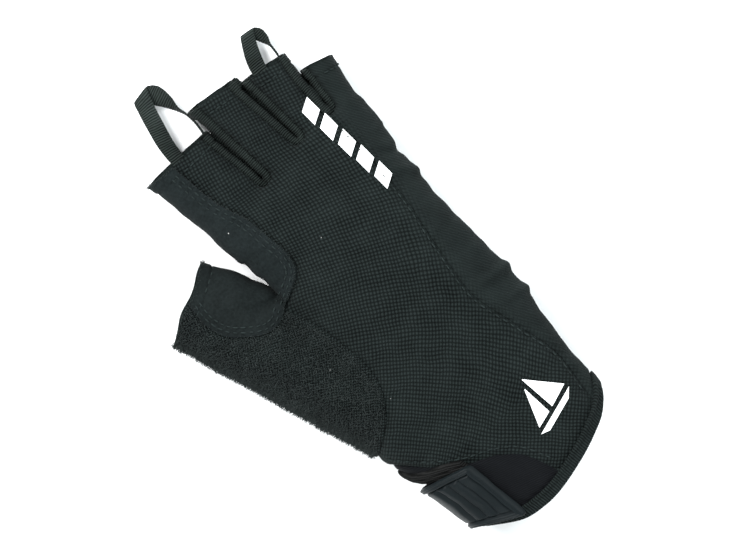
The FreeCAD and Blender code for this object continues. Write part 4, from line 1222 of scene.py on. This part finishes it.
# %% [markdown]
# ## Palm pads
# Each pad is a flat foam cushion under the palm. It starts as a thin block with rounded corners and is
# blown up a little by a cloth simulation, so its top crowns and its edge wrinkles. Where it would pass
# through the table or the palm it is held back, because the glove rests on it.
# %% Cushions
PADS = {"palm_pad": (-14, -8, 34, 14, 7), "knuckle_pad": (-8, 20, 40, 40, 7),
    "heel_pad_outer": (10, -52, 38, -12, 9), "heel_pad_inner": (-20, -52, 4, -16, 9)}
PAD_TOP = 1.9


def rounded_box(box, radius):
    cx, cy = (box[0] + box[2]) / 2, (box[1] + box[3]) / 2
    hx, hy = (box[2] - box[0]) / 2 - radius, (box[3] - box[1]) / 2 - radius

    def field(x, y, z):
        dx, dy = np.abs(x - cx) - hx, np.abs(y - cy) - hy
        flat = np.hypot(np.maximum(dx, 0), np.maximum(dy, 0)) + np.minimum(np.maximum(dx, dy), 0) - radius
        flat = flat + 0.5 * np.sin(0.9 * x + 1.1 * y) * (np.abs(flat) < 3) * 0.3
        return soft_max(flat, np.abs(z - PAD_TOP / 2) - 0.62, 0.5)
    return field


def cushion(name, box):
    low, high = (box[0] - 1, box[1] - 1, -0.2), (box[2] + 1, box[3] + 1, PAD_TOP + 0.2)
    points, quads = cast(rounded_box(box[:4], box[4]), low, high, 0.55)
    piece = make_mesh(name + "_cushion", points, quads, points[:, :2])
    start = points * MM
    cloth = piece.modifiers.new("cloth", "CLOTH")
    cloth.settings.use_pressure = True
    cloth.settings.uniform_pressure_force = 4
    cloth.settings.effector_weights.gravity = 0
    cloth.settings.quality = 4
    cloth.settings.mass = 0.3
    cloth.point_cache.frame_start, cloth.point_cache.frame_end = 1, 20
    for frame_number in range(1, 21):
        bpy.context.scene.frame_set(frame_number)
    settled = piece.evaluated_get(bpy.context.evaluated_depsgraph_get()).data
    moved = np.empty(len(settled.vertices) * 3)
    settled.vertices.foreach_get("co", moved)
    piece.modifiers.clear()
    bpy.context.scene.frame_set(1)
    move = moved.reshape(-1, 3) - start
    far = np.linalg.norm(move, axis=1)
    move *= np.minimum(1, 0.9 * MM / np.maximum(far, 1e-9))[:, None]
    start = start + move
    start[:, 2] = np.clip(start[:, 2], 0.02 * MM, PAD_TOP * MM)
    piece.data.vertices.foreach_set("co", start.ravel())
    piece.data.update()
    dress(piece, "pad_suede")
    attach(piece, "glove")
    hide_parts(name, name + "_foam")
    print(f"{name}: {len(points)} points, thickness {np.ptp(start[:, 2]) / MM:.2f} mm")


for name, box in PADS.items():
    cushion(name, box)

# %% [markdown]
# ## What moves with what
# Each piece stands for one or more solids of the CAD model and takes over their place. Most ride on the
# glove. Cloth that crosses a joint can't ride on one body, or it would tear there: it is left where it is,
# with its transform baked into its mesh.
# %% Panels and their bodies
STANDS_FOR = {
    "back": ["back_panel"], "side": ["side_panel"], "index_side": ["index_side_panel"],
    "wrist": ["wrist_gusset"],
    "palm": ["palm_panel"], "gusset_index_middle": ["gusset_index_middle"],
    "gusset_middle_ring": ["gusset_middle_ring"],
    "gusset_ring_little": ["gusset_ring_little"], "binding": ["cuff_binding"],
    "terry": ["thumb_ball_panel", "thumb_back"], "thumb_suede": ["thumb_patch"],
    "thumb_palm": ["thumb_ball_palm", "thumb_palm"],
}
for name, nodes in STANDS_FOR.items():
    piece = panels[name]
    if name in ("terry", "thumb_suede", "thumb_palm"):
        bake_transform(piece)
    else:
        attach(piece, "glove")
    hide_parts(*nodes)
print(f"{len(STANDS_FOR)} panels stand for {sum(map(len, STANDS_FOR.values()))} solids")

# %% Strap, tab and loops
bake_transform(webbing)
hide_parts("strap_base", "closure_strap")
for piece, node in ((hook_patch, "hook_patch"), (tab, "pull_tab")):
    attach(piece, "closure_strap")
    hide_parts(node)
for piece, node in ((loop_patch, "loop_patch"), (slit_tape, "slit_binding"), (side_bars, "print_bars"),
    (boat, "print_sail")):
    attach(piece, "glove")
    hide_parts(node)
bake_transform(index_ribbon)
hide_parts("pull_loop_index")
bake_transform(ring_ribbon)
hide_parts("pull_loop_ring")

# %% Stitches and pile
for piece in (glove_stitches, suede_fringe):
    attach(piece, "glove")
for piece in (thumb_stitches, thumb_fringe, pile):
    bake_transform(piece)

# %% [markdown]
# ## Camera, light and floor
# The glove is seen from straight above, turned so that the fingers point to the upper left. A long lens
# from well above keeps the outline free of perspective. Black cloth needs a bright room, a large key lamp
# beyond the fingers and two softer ones, or its folds are lost.
# %% Camera, light and floor
scene = bpy.context.scene
EYE = (11.1 * MM, -4.5 * MM)
VIEW_HEIGHT = 1.6               # metres above the table
SEEN_WIDTH = 0.2625             # metres across the view, at the height of the cloth

camera_data = bpy.data.cameras.new("camera")
camera_data.sensor_width = 36.0
camera_data.lens = 36.0 * (VIEW_HEIGHT - 0.015) / SEEN_WIDTH
camera_data.clip_start, camera_data.clip_end = 0.05, 20
camera = bpy.data.objects.new("camera", camera_data)
camera.location = (*EYE, VIEW_HEIGHT)
camera.rotation_euler = (0, 0, math.radians(-45))
scene.collection.objects.link(camera)
scene.camera = camera
scene.view_settings.view_transform = "Standard"


def lamp(name, place, size, power, tint=(1, 1, 1)):
    data = bpy.data.lights.new(name, "AREA")
    data.shape = "DISK"
    data.size = size
    data.energy = power
    data.color = tint
    light = bpy.data.objects.new(name, data)
    light.location = place
    light.rotation_euler = (Vector((0.01, 0, 0)) - Vector(place)).to_track_quat("-Z", "Y").to_euler()
    scene.collection.objects.link(light)


lamp("key", (-0.25, 0.95, 1.15), 0.7, 31)
lamp("fill", (0.9, 0.15, 0.9), 0.9, 14, (0.93, 0.98, 1.0))
lamp("low", (-0.7, -0.8, 0.6), 0.8, 10, (0.95, 1.0, 1.0))

world = bpy.data.worlds.new("studio")
world.use_nodes = True
world.node_tree.nodes["Background"].inputs["Color"].default_value = (0.95, 0.98, 1.0, 1)
world.node_tree.nodes["Background"].inputs["Strength"].default_value = 0.92
scene.world = world

floor_mesh = bpy.data.meshes.new("floor")
floor_mesh.from_pydata([(-3, -3, 0), (3, -3, 0), (3, 3, 0), (-3, 3, 0)], [], [(0, 1, 2, 3)])
floor = bpy.data.objects.new("floor", floor_mesh)
floor_paint = bpy.data.materials.new("floor_white")
floor_paint.use_nodes = True
floor_paint.node_tree.nodes["Principled BSDF"].inputs["Base Color"].default_value = (0.93, 0.94, 0.94, 1)
floor_paint.node_tree.nodes["Principled BSDF"].inputs["Roughness"].default_value = 0.9
floor_mesh.materials.append(floor_paint)
scene.collection.objects.link(floor)

print(f"camera {VIEW_HEIGHT} m up, {SEEN_WIDTH * 1000:.1f} mm across the view")
